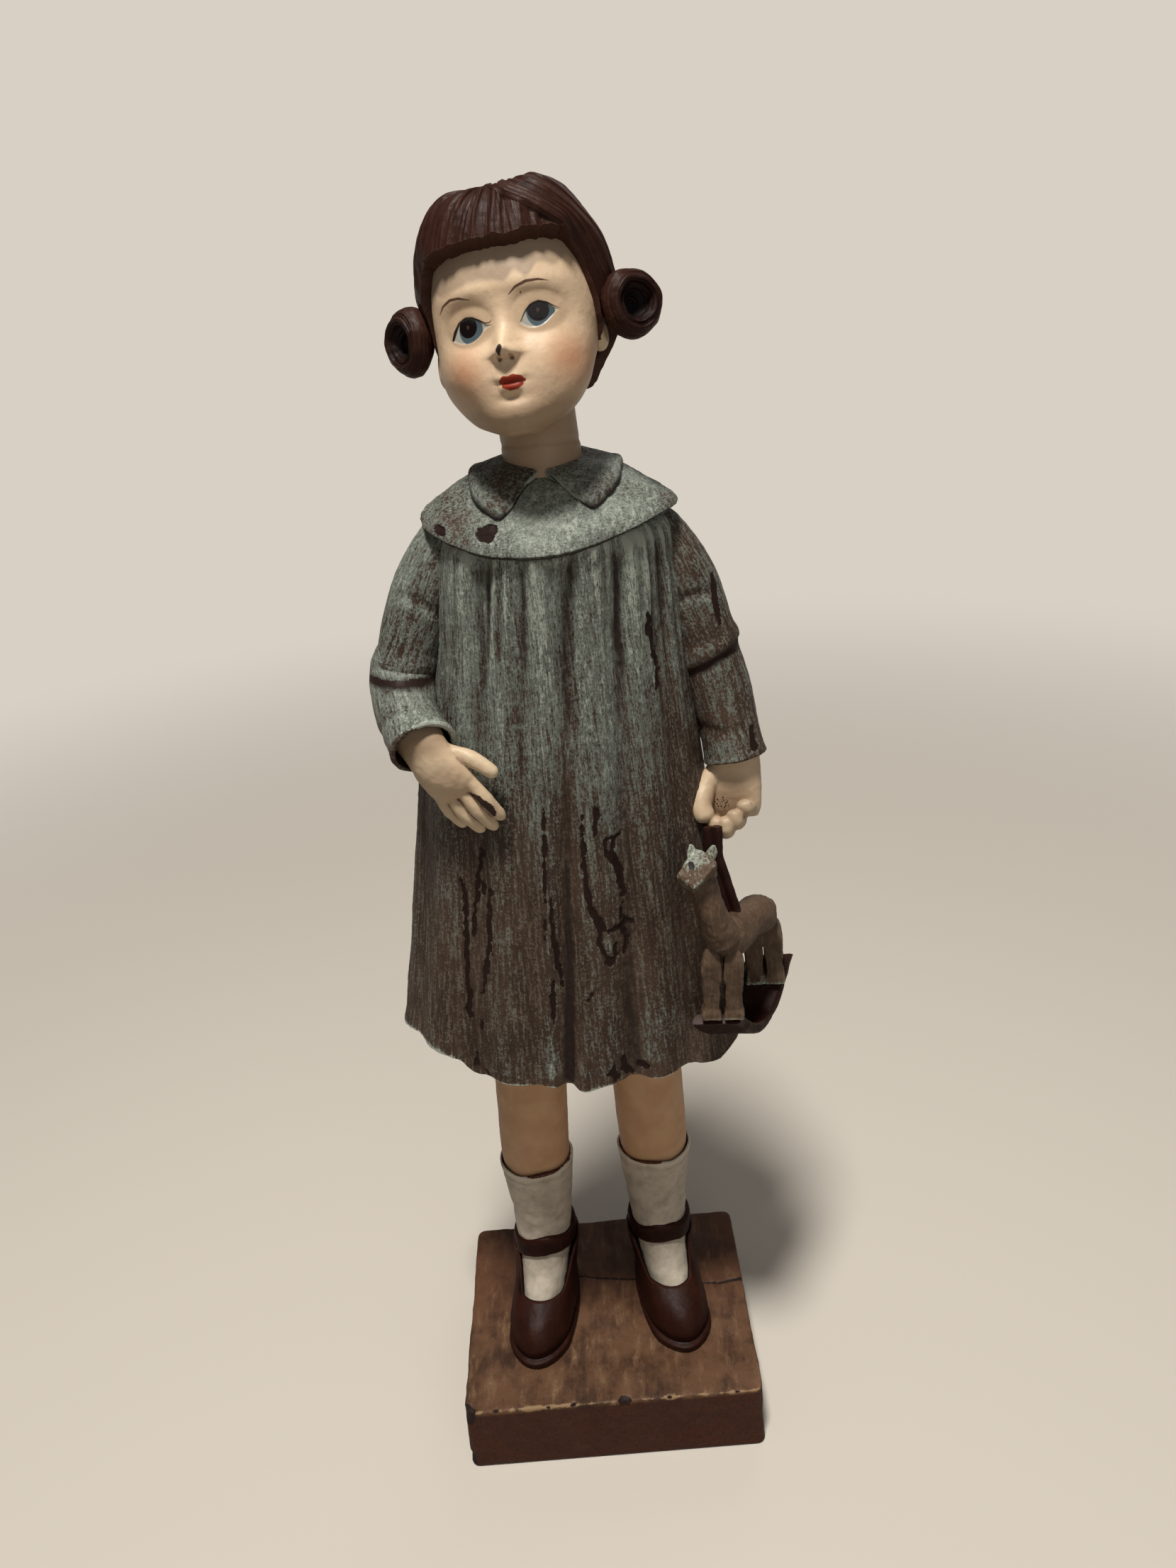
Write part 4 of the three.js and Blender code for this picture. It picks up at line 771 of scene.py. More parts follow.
def shoe_opening(turn, side):
    """Share of the shoe's height at which its wall ends, all round."""
    rows = 200
    full = shoe_ring(turn, np.broadcast_to(steps(rows), (rows, turn.size)))
    line_y, line_z = (np.array(TOPLINE_SHARES) * [SHOE["toe"], SHOE["height"]]).T
    back_to = full[..., 1] + side * TOPLINE_SKEW * full[..., 0]
    limit = np.where(back_to > line_y[-1], SHOE["height"], np.interp(back_to, line_y, line_z))
    above = full[..., 2] > limit
    crossing = np.where(above.any(0), above.argmax(0), rows - 1) / (rows - 1)
    crossing = np.convolve(np.concatenate([crossing[-3:], crossing, crossing[:3]]), np.ones(7) / 7, "valid")
    quarter = 0.05 * np.cos(turn * TAU * 2 + 0.6) * (crossing > 0.9)
    return crossing + np.minimum(quarter, 0)


def make_shoe(side, name, paint):
    turn = turns(260)
    levels = steps(110) * shoe_opening(turn, side)
    body = shoe_ring(turn, levels)
    ease = 1 - 0.03 * swell(levels - 0.112, 0.012) + 0.006 * swell(levels - 0.06, 0.03)
    body[..., :2] *= ease[..., None]
    rim = []
    for inwards, rise in SHOE_RIM:
        ring = body[-1].copy()
        length = np.hypot(ring[:, 0], ring[:, 1] - OPENING_Y)[:, None]
        ring[:, :2] -= inwards * (ring[:, :2] - [0, OPENING_Y]) / length
        ring[:, 2] += rise
        rim.append(ring)
    rings = np.concatenate([body, rim]) + [0, 0, 0.12]
    made = mesh_object(f"{name}_shoe_upper", loft(foot_place(side, name, rings)))
    roughen(made, (0.10, 3.0, 11 + side), (0.035, 0.8, 12))
    add_piece(made, [f"{name}_shoe"], paint, "shoe_paint", 16)


def make_shoe_strap(side, name, paint):
    turn, angle = turns(220), turns(26).T * TAU
    middle = SHOE["height"] + 0.6 + SHOE_STRAP["raised"] + SHOE_STRAP["width"] / 2
    wave = 0.18 * np.cos(turn * TAU * 3 + side) - SHOE_STRAP["dip"] * np.sin(turn * TAU) ** 2
    wave = wave - SHOE_STRAP["slant"][side] * np.sin(turn * TAU)
    half = SHOE_STRAP["width"] / 2 * (1 + 0.08 * np.cos(turn * TAU * 4 + side))
    z = middle + wave + half * signed_power(np.sin(angle), 0.7)
    out = 0.1 + SHOE_STRAP["thickness"] * signed_power(np.cos(angle), 0.7)
    rings = sock_ring(np.broadcast_to(turn, z.shape), z, out)
    made = mesh_object(f"{name}_shoe_band", hoop(foot_place(side, name, rings)))
    roughen(made, (0.10, 1.8, 15 + side), (0.04, 0.6, 16))
    add_piece(made, [f"{name}_shoe_strap"], paint, "shoe_paint", 16)


# Dress
DRESS = dict(
    hem_z=75.0, top_z=160.5, half_width=27.3, front=16.8, back=15.4, hem_x=-0.6, top_x=2.7,
    centre_y=2.0, depth=1.5, gather_depth=0.42, wave=0.7, side_rise=1.3, wall=3.4, recess=8.0,
    tilt=-0.085, tilt_drop=-0.6,
)
# Rows: share of the height, of the way to top_x, and of the half width, the front and the back
DRESS_SHARES = [
    [0, 0, 1, 1, 1], [0.1, 0.05, 0.95, 0.965, 0.95], [0.2, 0.12, 0.895, 0.935, 0.9],
    [0.5, 0.4, 0.765, 0.835, 0.74], [0.76, 0.79, 0.645, 0.76, 0.66], [0.877, 0.95, 0.605, 0.76, 0.675],
    [0.924, 1, 0.555, 0.74, 0.65], [0.965, 1, 0.38, 0.49, 0.42], [1, 1, 0.18, 0.25, 0.2],
]
DRESS_SQUARENESS = 0.95
# Rows: the furrow's turn at the yoke and at the hem, its depth's share, its width at each end.
FURROWS = [
    [-0.205, -0.19, 0.8, 0.018, 0.03], [-0.1, -0.103, 1.1, 0.014, 0.026], [-0.05, -0.035, 0.5, 0.016, 0.018],
    [0.021, -0.01, 1.2, 0.02, 0.011], [0.09, 0.055, 1, 0.014, 0.018], [0.16, 0.115, 0.7, 0.016, 0.022],
    [0.27, 0.235, 0.8, 0.02, 0.026], [0.345, 0.31, 0.65, 0.018, 0.026], [0.4, 0.385, 1, 0.018, 0.024],
    [0.455, 0.46, 0.75, 0.018, 0.024], [0.54, 0.53, 1, 0.018, 0.026], [0.605, 0.615, 0.7, 0.018, 0.024],
    [0.67, 0.69, 0.9, 0.018, 0.026],
]
# Rows: x and how far the front of the hem hangs there
HEM_DIPS = [
    [-28, 0], [-22.5, -1.2], [-18.5, -0.6], [-16.3, 1.6], [-13.5, 0.7], [-7, 0], [-1, 0.9], [3, -0.6],
    [10, 0.2], [15, 0], [20.5, 0.9], [25, -0.8], [28, 0],
]
# Rows: share of the height, then how deep the furrows or gathers are, or how much teal covers
FURROW_FADE = [[0, 1], [0.3, 0.7], [0.6, 0.5], [0.84, 0.75], [0.92, 0.4], [1, 0]]
GATHER_FADE = [[0, 0.2], [0.5, 0.5], [0.88, 1], [0.95, 0.3], [1, 0]]
DRESS_COVER = [[0, 0.25], [0.3, 0.25], [0.55, 0.5], [0.75, 0.72], [0.9, 0.86]]
GATHERS = 46
# The skirt's half width and half depth at the hem, and what each loses in a millimetre upwards
SKIRT_TAPER = dict(half_width=28, width_lost=0.13, half_depth=16, depth_lost=0.07)
# Worn lines, as rows of x, z and half width, seen from the front
WORN_LINES = [
    [
        (14.0, 142.9, 0.35), (14.1, 141.4, 0.5), (14.3, 139.1, 0.35), (14.6, 136.4, 0.22),
        (14.8, 134.2, 0.25), (14.6, 133.4, 0.35),
    ],
    [
        (3.2, 117.8, 0.14), (3.1, 115.2, 0.18), (3.0, 112.6, 0.38), (3.1, 109.4, 0.32),
        (3.1, 106.8, 0.38), (3.5, 104.0, 0.46), (4.2, 101.9, 0.6), (5.0, 100.6, 0.3),
    ],
    [(5.2, 118.5, 0.27), (5.0, 116.0, 0.2), (4.8, 114.7, 0.1)],
    [(6.4, 114.0, 0.2), (7.2, 114.0, 0.15), (8.2, 114.0, 0.2)],
    [(7.2, 113.5, 0.15), (7.0, 111.4, 0.42), (7.5, 109.2, 0.52), (7.9, 106.9, 0.36), (8.0, 105.1, 0.3)],
    [(6.2, 113.7, 0.15), (6.1, 111.6, 0.15), (6.7, 110.6, 0.2)],
    [(5.9, 100.2, 0.36), (6.9, 100.2, 0.36), (8.0, 100.7, 0.5), (9.0, 100.4, 0.2)],
    [(7.7, 103.7, 0.12), (7.5, 101.6, 0.2)],
    [(4.3, 100.8, 0.3), (4.4, 97.7, 0.3), (4.8, 96.5, 0.25), (5.4, 95.3, 0.52), (6.4, 95.4, 0.3)],
    [(6.4, 97.7, 0.12), (6.4, 95.6, 0.15)],
    [(7.7, 100.0, 0.25), (8.0, 98.1, 0.3), (7.6, 95.9, 0.15)],
    [
        (-14.2, 107.8, 0.15), (-14.2, 105.1, 0.3), (-14.4, 102.4, 0.3), (-14.9, 97.8, 0.31),
        (-15.2, 93.2, 0.26), (-15.4, 89.8, 0.32), (-15.7, 86.8, 0.32), (-15.8, 83.9, 0.11),
    ],
    [
        (-10.7, 112.7, 0.15), (-11.8, 108.3, 0.2), (-12.4, 104.9, 0.25), (-13.3, 101.5, 0.25),
        (-14.0, 97.5, 0.1),
    ],
    [(-11.1, 108.6, 0.14), (-11.2, 106.0, 0.1)],
    [
        (-10.3, 106.9, 0.2), (-10.9, 104.1, 0.3), (-11.2, 100.8, 0.2), (-11.4, 98.0, 0.31),
        (-12.1, 95.0, 0.31), (-12.8, 92.1, 0.26), (-13.4, 89.7, 0.16),
    ],
    [(-14.1, 84.9, 0.13), (-14.3, 83.5, 0.11)],
    [
        (-1.7, 119.4, 0.08), (-2.0, 115.2, 0.18), (-2.3, 111.0, 0.24), (-2.7, 106.7, 0.2),
        (-3.1, 103.5, 0.13), (-3.3, 99.1, 0.1),
    ],
    [
        (-1.9, 106.2, 0.08), (-2.2, 102.3, 0.13), (-2.1, 99.6, 0.3), (-1.9, 96.8, 0.3),
        (-1.7, 94.5, 0.25), (-1.5, 91.6, 0.08),
    ],
    [(-2.9, 92.8, 0.31), (-3.0, 89.9, 0.41), (-3.3, 87.5, 0.31), (-3.4, 85.5, 0.08)],
    [(1.6, 91.3, 0.13), (2.4, 90.6, 0.21), (1.9, 89.5, 0.1)],
    [(-15.5, 79.1, 0.16), (-15.7, 77.2, 0.5)],
    [(-14.2, 76.3, 0.2), (-14.0, 75.8, 0.25)],
    [(4.9, 77.8, 0.21), (4.1, 76.6, 0.38), (5.0, 75.7, 0.43)],
    [(6.2, 78.5, 0.38), (6.4, 76.6, 0.54), (7.5, 75.2, 0.33)],
    [(8.6, 76.5, 0.43), (9.4, 75.9, 0.44)],
]


def furrow_at(turn, share):
    total = 0
    for top, hem, depth, wide_top, wide_hem in FURROWS:
        total = total + depth * swell(turn_apart(turn, mix(hem, top, share)), mix(wide_hem, wide_top, share))
    return total


def gathers_at(turn, share):
    """Small pleats that start under the yoke and die out down the skirt."""
    pick = np.random.RandomState(7)
    total = 0
    for k in range(GATHERS):
        at = (k + pick.uniform(-0.4, 0.4)) / GATHERS
        low = pick.uniform(0.45, 0.78)
        depth = pick.uniform(0.25, 1)
        width = mix(0.003, 0.0065, smooth(low, 0.9, share))
        apart = turn_apart(turn, mix(at * 0.97, at, share))
        total = total + depth * swell(apart, width) * smooth(low, 0.88, share)
    return total


def dress_surface(turn, share):
    drift, width, front, back = table_at(DRESS_SHARES, share)
    furrow = furrow_at(turn, share)
    inwards = DRESS["depth"] * furrow * curve_at(FURROW_FADE, share)
    inwards = inwards + DRESS["gather_depth"] * gathers_at(turn, share) * curve_at(GATHER_FADE, share)
    point = oval(
        turn, DRESS["half_width"] * width - inwards, DRESS["front"] * front - inwards,
        DRESS["back"] * back - inwards, DRESS_SQUARENESS,
    )
    rise = DRESS["wave"] * furrow + DRESS["side_rise"] * np.sin(turn * TAU) ** 2
    point[..., 0] += mix(DRESS["hem_x"], DRESS["top_x"], drift)
    point[..., 1] += DRESS["centre_y"]
    tilt = DRESS["tilt"] * point[..., 0] + DRESS["tilt_drop"]
    dips = curve_at(HEM_DIPS, point[..., 0]) * smooth(-0.1, 0.3, np.cos(turn * TAU)) * smooth(0.14, 0, share)
    z = mix(DRESS["hem_z"], DRESS["top_z"], share) + rise * np.maximum(0, 1 - share / 0.05)
    point[..., 2] = z + tilt * smooth(0.5, 0, share) - dips
    return point


def dress_rings():
    """Rings from the neck down the outside, round the hem, and up to the ceiling of the hollow."""
    turn, rows = turns(620), 330
    outside = dress_surface(turn, np.broadcast_to(1 - steps(rows), (rows, turn.size)))
    inner = oval(turn, *(DRESS[reach] - DRESS["wall"] for reach in ("half_width", "front", "back")))
    inner = inner[0] + [DRESS["hem_x"], DRESS["centre_y"], 0]
    hem, rings = outside[-1], []
    for t in np.linspace(0, 1, 9)[1:]:
        ring = mix(hem, inner + hem * [0, 0, 1], t)
        ring[:, 2] -= 0.55 * math.sin(t * math.pi) * (1 - 0.4 * t)
        rings.append(ring)
    low = rings[-1][:, 2:]
    ceiling = DRESS["hem_z"] + DRESS["recess"]
    for t in np.linspace(0, 1, 8)[1:]:
        rings.append(np.concatenate([inner[:, :2], mix(low, ceiling, t)], -1))
    for t in (0.98, 0.8, 0.5, 0.2, 0.05):
        rings.append(inner * [t, t, 0] + [0, 0, ceiling + 0.3])
    return np.concatenate([outside, rings])


def skirt_flow(points):
    """Places with the skirt's taper taken out, for strokes that run down it."""
    x, y, z = points.T
    up = z - DRESS["hem_z"]
    wide = 1 - SKIRT_TAPER["width_lost"] * up / SKIRT_TAPER["half_width"]
    deep = 1 - SKIRT_TAPER["depth_lost"] * up / SKIRT_TAPER["half_depth"]
    return np.stack([x / wide, y / deep, z], -1)


def make_dress(paint):
    made = mesh_object("dress_cloth", loft(dress_rings()))
    points, normals = points_of(made), normals_of(made)
    x, y, z = points.T
    chip = stroke_set(x, z, WORN_LINES) + np.where(y < 0, 0, OUTSIDE)
    chip = chip + 0.07 + 0.34 * noise(points, (0.5, 0.5, 0.8), 21)
    outer = smooth(0.0, 0.4, (normals[:, :2] * (points[:, :2] - [0, DRESS["centre_y"]])).sum(1))
    flow = skirt_flow(points)
    bumps = 0.13 * noise(flow, (2.6, 2.6, 16.0), 22) + 0.07 * noise(flow, (0.7, 0.7, 7.0), 23)
    bumps = bumps + 0.05 * noise(points, 0.75, 24) + 0.14 * noise(points, 7.0, 25)
    push_out(made, bumps * outer - 0.14 * smooth(-0.05, 0.12, chip))
    height = (z - DRESS["hem_z"]) / (DRESS["top_z"] - DRESS["hem_z"])
    cover = curve_at(DRESS_COVER, height) + 0.15 * noise(points, (4.0, 4.0, 16.0), 26)
    # Less teal near the hem, and less towards the girl's left side (+x), which is painted shade on the side
    # turned from the light.
    cover = cover - 1.0 * smooth(0.025, 0.0, height) - 0.15 * smooth(10, 26, x)
    shade = z - yoke_low(x, y) + 0.3
    add_piece(made, ["dress"], paint, "dress_paint", 40, flow=flow, cover=cover, chip=chip, shade=shade)


# Yoke and collar
YOKE = dict(
    x=2.5, y=1.2, z=162.4, neck=5.5, half_width=16.6, front=12.2, back=11.6,
    side_drop=6.0, front_drop=9.7, back_drop=8.6, tilt_drop=0.3, skew=0.22, dip=1.7,
)
# Rows: place from under the lip, round it and up to the neck, shares of reach and of drop
YOKE_SHARES = [
    [0, 0.75, 1.03], [0.16, 0.955, 1.06], [0.24, 0.99, 1.04], [0.32, 1, 1], [0.42, 0.95, 0.885],
    [0.56, 0.8, 0.7], [0.7, 0.6, 0.47], [0.85, 0.34, 0.2], [1, 0, 0],
]
YOKE_LIP = 1.05  # share of the drop at the lip's underside
# Chips, as rows of x, z and half width
YOKE_CHIPS = [
    [(-5.9, 155.2, 0.75), (-5.1, 155.3, 0.95), (-4.5, 155.6, 0.7), (-4.0, 155.5, 0.25)],
    [(-11.5, 155.6, 0.55), (-10.9, 155.4, 0.6)],
]
# Rows: share of the way round to the back, and the leaf's reach there as a share of the yoke's
COLLAR_EDGE = [
    [0, 0.65], [0.025, 0.735], [0.1, 0.67], [0.2, 0.55], [0.3, 0.43], [0.5, 0.37], [0.75, 0.42],
    [1, 0.5],
]
COLLAR_FRONT = dict(inner=0.012, outer=0.058)
COLLAR_TWIST = dict(inner=-0.016, outer=-0.004)
COLLAR_BACK = 0.492
# Rows: place round the leaf's section, share of the way across it, share of its thickness.
COLLAR_SECTION = [
    [0, -0.15, -0.2], [1, 0.5, -0.2], [2, 0.93, -0.2], [2.5, 1.0, 0.2], [3, 1.0, 0.8], [3.5, 0.96, 1.12],
    [4, 0.9, 1.18], [4.5, 0.84, 1.0], [5, 0.78, 0.88], [6, 0.5, 0.92], [7, 0.2, 0.95], [8, -0.15, 1.0],
]
COLLAR_THICKNESS = 0.95


def yoke_fall(turn):
    sine, cosine = np.sin(turn * TAU + YOKE["skew"]), np.cos(turn * TAU + YOKE["skew"])
    fall = cosine**2 * np.where(cosine > 0, YOKE["front_drop"], YOKE["back_drop"])
    return fall + sine**2 * YOKE["side_drop"] + sine * YOKE["tilt_drop"]


def yoke_low(x, y):
    """Height of the underside of the yoke's lip over each place."""
    turn = np.arctan2(x - YOKE["x"], YOKE["y"] - y) / TAU
    return YOKE["z"] - yoke_fall(turn) * YOKE_LIP


def yoke_surface(turn, reach, drop):
    lip = oval(turn, YOKE["half_width"], YOKE["front"], YOKE["back"])
    point = mix(circle(turn, YOKE["neck"]), lip, np.asarray(reach)[..., None])
    dip = YOKE["dip"] * np.maximum(0, np.cos(turn * TAU)) * np.maximum(0, 1 - reach) ** 2
    point[..., 0] += YOKE["x"]
    point[..., 1] += YOKE["y"]
    point[..., 2] = YOKE["z"] - yoke_fall(turn) * drop - dip
    return point


def make_yoke(paint):
    turn, rows = turns(460), 170
    reach, drop = table_at(YOKE_SHARES, np.broadcast_to(steps(rows), (rows, turn.size)))
    ripple = 1 + 0.012 * np.cos(turn * TAU * 5 + 0.5) + 0.008 * np.cos(turn * TAU * 11)
    ripple = mix(1, ripple, smooth(0.6, 1, reach))
    made = mesh_object("yoke_cape", loft(yoke_surface(turn, reach * ripple, drop)))
    points, normals = points_of(made), normals_of(made)
    x, y, z = points.T
    chip = stroke_set(x, z, YOKE_CHIPS) + np.where(y < 1, 0, OUTSIDE) + 0.15 * noise(points, 0.7, 31)
    flow = points * [1, 1, 2.5]
    bumps = 0.12 * noise(points, 5.0, 32) + 0.09 * noise(flow, (0.8, 0.8, 5.0), 33)
    bumps = bumps + 0.06 * noise(points, 0.7, 34)
    push_out(made, bumps - 0.16 * smooth(-0.05, 0.12, chip))
    away = np.hypot(x - YOKE["x"], y - YOKE["y"])
    # The swell across the front middle is a painted highlight: more teal and pale paint where the varnish
    # shines.
    cover = 0.64 + 0.2 * noise(points, 3.0, 35) + 0.42 * swell(x - 2, 6)
    cover = cover + 0.2 * smooth(6, 12, x) * smooth(18, 13, away)
    shade = -0.3 - 1.2 * normals[:, 2]
    add_piece(made, ["yoke"], paint, "dress_paint", 16, flow=flow, cover=cover, chip=chip, shade=shade)


def make_collar(side, name, paint):
    rows, section = 170, np.linspace(0, COLLAR_SECTION[-1][0], 64)
    across, up = table_at(COLLAR_SECTION, section)[:, None]
    share = steps(rows) ** 1.3
    front = mix(COLLAR_FRONT["inner"], COLLAR_FRONT["outer"], across)
    twist = mix(COLLAR_TWIST["inner"], COLLAR_TWIST["outer"], across)
    turn = side * mix(front, COLLAR_BACK, share) + twist * (1 - share)
    reach = np.maximum(curve_at(COLLAR_EDGE, share), 0.05) * across
    upper_yoke = np.array(YOKE_SHARES)[3:, 1:][::-1]
    point = yoke_surface(turn, reach, curve_at(upper_yoke, reach))
    ease = 0.55 + 0.45 * smooth(0, 0.03, share)
    lift = COLLAR_THICKNESS * ease * (1 - 0.45 * smooth(0.2, 0.45, share))
    point[..., 2] += lift * up + 0.15
    made = mesh_object(f"{name}_collar_leaf", loft(point))
    flow = points_of(made) * [1, 1, 2.2] + [40, 0, 0]
    roughen(made, (0.10, 3.0, 41 + side), (0.04, 0.7, 42))
    cover = 0.66 + 0.06 * side + 0.26 * noise(points_of(made), 3.0, 43)
    place = np.concatenate([np.tile(section, rows), [0, 0]])
    shade = 0.9 - np.abs(place - 2.1)
    add_piece(made, [f"{name}_collar"], paint, "dress_paint", 8, flow=flow, cover=cover, shade=shade)


# Limbs
def spline(points, share):
    """The smooth line through the points and its direction, at shares of the way along."""
    points = np.asarray(points, float)
    padded = np.concatenate([[2 * points[0] - points[1]], points, [2 * points[-1] - points[-2]]])

    def at(share):
        place = np.clip(share, 0, 1) * (len(points) - 1)
        i = np.minimum(np.floor(place).astype(int), len(points) - 2)
        t = (place - i)[..., None]
        a, b, c, d = (padded[i + k] for k in range(4))
        pairs = ((a, b), (b, c), (c, d))
        gaps = [np.maximum(np.linalg.norm(q - p, axis=-1, keepdims=True) ** 0.5, 1e-4) for p, q in pairs]
        start = ((b - a) / gaps[0] - (c - a) / (gaps[0] + gaps[1]) + (c - b) / gaps[1]) * gaps[1]
        end = ((c - b) / gaps[1] - (d - b) / (gaps[1] + gaps[2]) + (d - c) / gaps[2]) * gaps[1]
        rise = 3 * t**2 - 2 * t**3
        return (1 - rise) * b + rise * c + (t - 2 * t**2 + t**3) * start + (t**3 - t**2) * end

    along = at(share + 1e-4) - at(share - 1e-4)
    return at(share), along / np.linalg.norm(along, axis=-1, keepdims=True)


def limb(points, half_width, half_depth, sizes, across, rings, count, relief=None, squareness=1.0):
    """A limb along a smooth line; sizes holds rows of place, width's share, depth's share."""
    share = np.linspace(0, 1, rings)
    middle, along = spline(points, share)
    across = np.asarray(across, float)
    wide = across - along * (along @ across)[:, None]
    wide /= np.linalg.norm(wide, axis=1, keepdims=True)
    deep = np.cross(along, wide)
    width, depth = table_at(sizes, share)
    angle = turns(count) * TAU
    cosine, sine = np.cos(angle), np.sin(angle)
    shape = 1.0
    if squareness < 1:
        shape = np.maximum(np.abs(cosine) ** squareness, np.abs(sine) ** squareness)
    extra = relief(share[:, None], angle) if relief else 0.0
    wide_part = ((half_width * width)[:, None] / shape + extra) * cosine
    deep_part = ((half_depth * depth)[:, None] / shape + extra) * sine
    return middle[:, None] + wide_part[..., None] * wide[:, None] + deep_part[..., None] * deep[:, None]


RIGHT_ARM = dict(
    shoulder=(-9.2, 1.6, 154.4), middle=(-14.8, 1.2, 146.2), elbow=(-18.9, 0.2, 136.2),
    forearm=(-18.9, -4.4, 131.9), cuff=(-16.4, -10.2, 128.9),
)
LEFT_ARM = dict(
    shoulder=(14.2, 1.8, 153.5), middle=(19.5, 1.9, 144.2), elbow=(22.1, 1.6, 135.0),
    forearm=(24.1, 0.6, 127.6), cuff=(25.4, -1.0, 120.2),
)
SLEEVE_RADIUS = 4.85
SEAM_SLANT = dict(right=0.34, left=0.2)  # rise across the end of the upper sleeve, beyond a square cut
# Rows: place along the sleeve, shares of its width and depth
SLEEVE_SIZES = dict(
    upper=[
        [0, 0.72, 0.72], [0.12, 0.9, 0.88], [0.45, 0.97, 0.98], [0.85, 0.94, 0.95], [0.95, 1.0, 1.02],
        [1, 0.99, 1.0],
    ],
    lower=[
        [0, 0.86, 0.86], [0.18, 0.94, 0.94], [0.3, 0.98, 0.98], [0.75, 0.87, 0.87], [0.93, 0.88, 0.88],
        [1, 0.93, 0.93],
    ],
)
SLEEVE_WALL = dict(upper=0.7, lower=0.8)
SLEEVE_HOLLOW = dict(upper=0.8, lower=2.4)
# Rows: share of the wall inwards, and how far past the end, of the rings that turn into a cuff
CUFF_TURN = ((0.25, 0.22), (0.6, 0.25), (0.9, 0.1), (1.0, -0.3))
SLEEVE_COVER = dict(right=0.62, left=0.4)
SLEEVE_CHIPS = dict(
    right=[[(-21.3, 127.5, 0.5), (-20.9, 126.6, 0.5)]],
    left=[
        [(22.9, 146.0, 0.3), (23.1, 142.4, 0.45), (23.7, 139.6, 0.3)],
        [(27.4, 125.0, 0.4), (27.6, 122.5, 0.5)],
    ],
)


def aligned(points, start, end):
    """Points turned so that the line from start to end runs along Z."""
    axis = (Vector(end) - Vector(start)).normalized()
    turn = np.array(axis.rotation_difference(Vector((0, 0, 1))).to_matrix())
    return points @ turn.T


def close_cuff(rings, wall, depth):
    """Turns the last ring of a sleeve inwards and back up inside it."""
    last, before = rings[-1], rings[-4]
    centre = last.mean(0)
    along = centre - before.mean(0)
    along /= np.linalg.norm(along)
    inwards = (centre - last) / np.linalg.norm(last - centre, axis=1, keepdims=True)
    more = [last + inwards * wall * a + along * b for a, b in (*CUFF_TURN, (1.0, -depth))]
    return np.concatenate([rings, more])


def folds(seed, depth, places):
    """Soft creases across a sleeve at places along it, deepest on one side."""

    def relief(share, angle):
        total = 0
        for k, (at, side, width) in enumerate(places):
            centre = at + 0.03 * np.sin(angle * 2 + seed + k)
            total = total - depth * swell(share - centre, width) * np.maximum(0, np.cos(angle - side)) ** 1.5
        return total

    return relief


def sleeve(part, line, rows, creases):
    return limb(line, SLEEVE_RADIUS, SLEEVE_RADIUS, SLEEVE_SIZES[part], (1, 0, 0), rows, 120, creases)


def make_sleeves(name, arm, paint):
    middle, elbow, slant, rows = np.array(arm["middle"]), np.array(arm["elbow"]), SEAM_SLANT[name], 90
    creases = folds(1, 0.35, [(0.55, 1.5, 0.04), (0.72, 4.6, 0.05)])
    upper = sleeve("upper", [arm["shoulder"], middle, elbow], rows, creases)
    upper[..., 2] += slant * smooth(0.7, 1.0, steps(rows)) * (upper[..., 0] - elbow[0])
    seam_axis = (elbow - middle) / np.linalg.norm(elbow - middle) + [slant * 0.92, 0, 0]
    seam_axis /= np.linalg.norm(seam_axis)
    creases = folds(3, 0.3, [(0.38, 1.0, 0.05), (0.5, 5.0, 0.04), (0.8, 2.5, 0.04)])
    line = [mix(elbow, middle, 0.3), elbow, arm["forearm"], arm["cuff"]]
    lower = sleeve("lower", line, 100, creases)
    dress_sleeve(name, "upper", upper, (arm["shoulder"], elbow), elbow, seam_axis, paint)
    dress_sleeve(name, "lower", lower, (elbow, arm["cuff"]), elbow, seam_axis, paint)


def dress_sleeve(name, part, rings, ends, elbow, seam_axis, paint):
    rings = close_cuff(rings, SLEEVE_WALL[part], SLEEVE_HOLLOW[part])
    made = mesh_object(f"{name}_{part}_sleeve_cloth", loft(rings))
    points, normals = points_of(made), normals_of(made)
    flow, end = aligned(points, *ends), aligned(np.array(ends[1]), *ends)[2]
    bumps = 0.14 * noise(points, 4.5, 51) + 0.06 * noise(flow, (0.8, 0.8, 5.0), 52)
    bumps = bumps + 0.04 * noise(points, 0.7, 53)
    chip = stroke_set(points[:, 0], points[:, 2], SLEEVE_CHIPS[name]) + 0.2 * noise(points, 0.8, 54)
    push_out(made, bumps - 0.12 * smooth(-0.05, 0.12, chip))
    cover = SLEEVE_COVER[name] + 0.14 * noise(points, 6.0, 55)
    # Painted light: more teal on faces turned up and less on faces turned back, so the tops look lit and the
    # backs shaded.
    cover = cover + 0.25 * normals[:, 2] - 0.2 * smooth(0, 1, normals[:, 1])
    cover = cover - 0.7 * smooth(-0.5, 0.1, flow[:, 2] - end)
    # Painted shade at the elbow: the end of the upper sleeve and a band of the lower sleeve just past the
    # seam are darkened, and a near-black line in the chip paint marks the gap under the upper sleeve's edge.
    past_seam = (points - elbow) @ seam_axis
    shade = past_seam + 0.1
    if part == "lower":
        shade = 0.65 - np.abs(past_seam - 0.6)
        chip = np.maximum(chip, 0.4 - np.abs(past_seam - 0.5) + 0.25 * noise(points, 1.6, 56))
    nodes = [f"{name}_{part}_sleeve"]
    add_piece(made, nodes, paint, "dress_paint", 8, flow=flow, cover=cover, chip=chip, shade=shade)


# Hands, in a frame with X to the thumb, Y out of the back of the hand and Z along the fingers
HAND = dict(length=14.2, palm=(3.7, 1.75), finger=0.98)
FIST = dict(length=10.5, palm=(3.9, 2.0), finger=1.25)
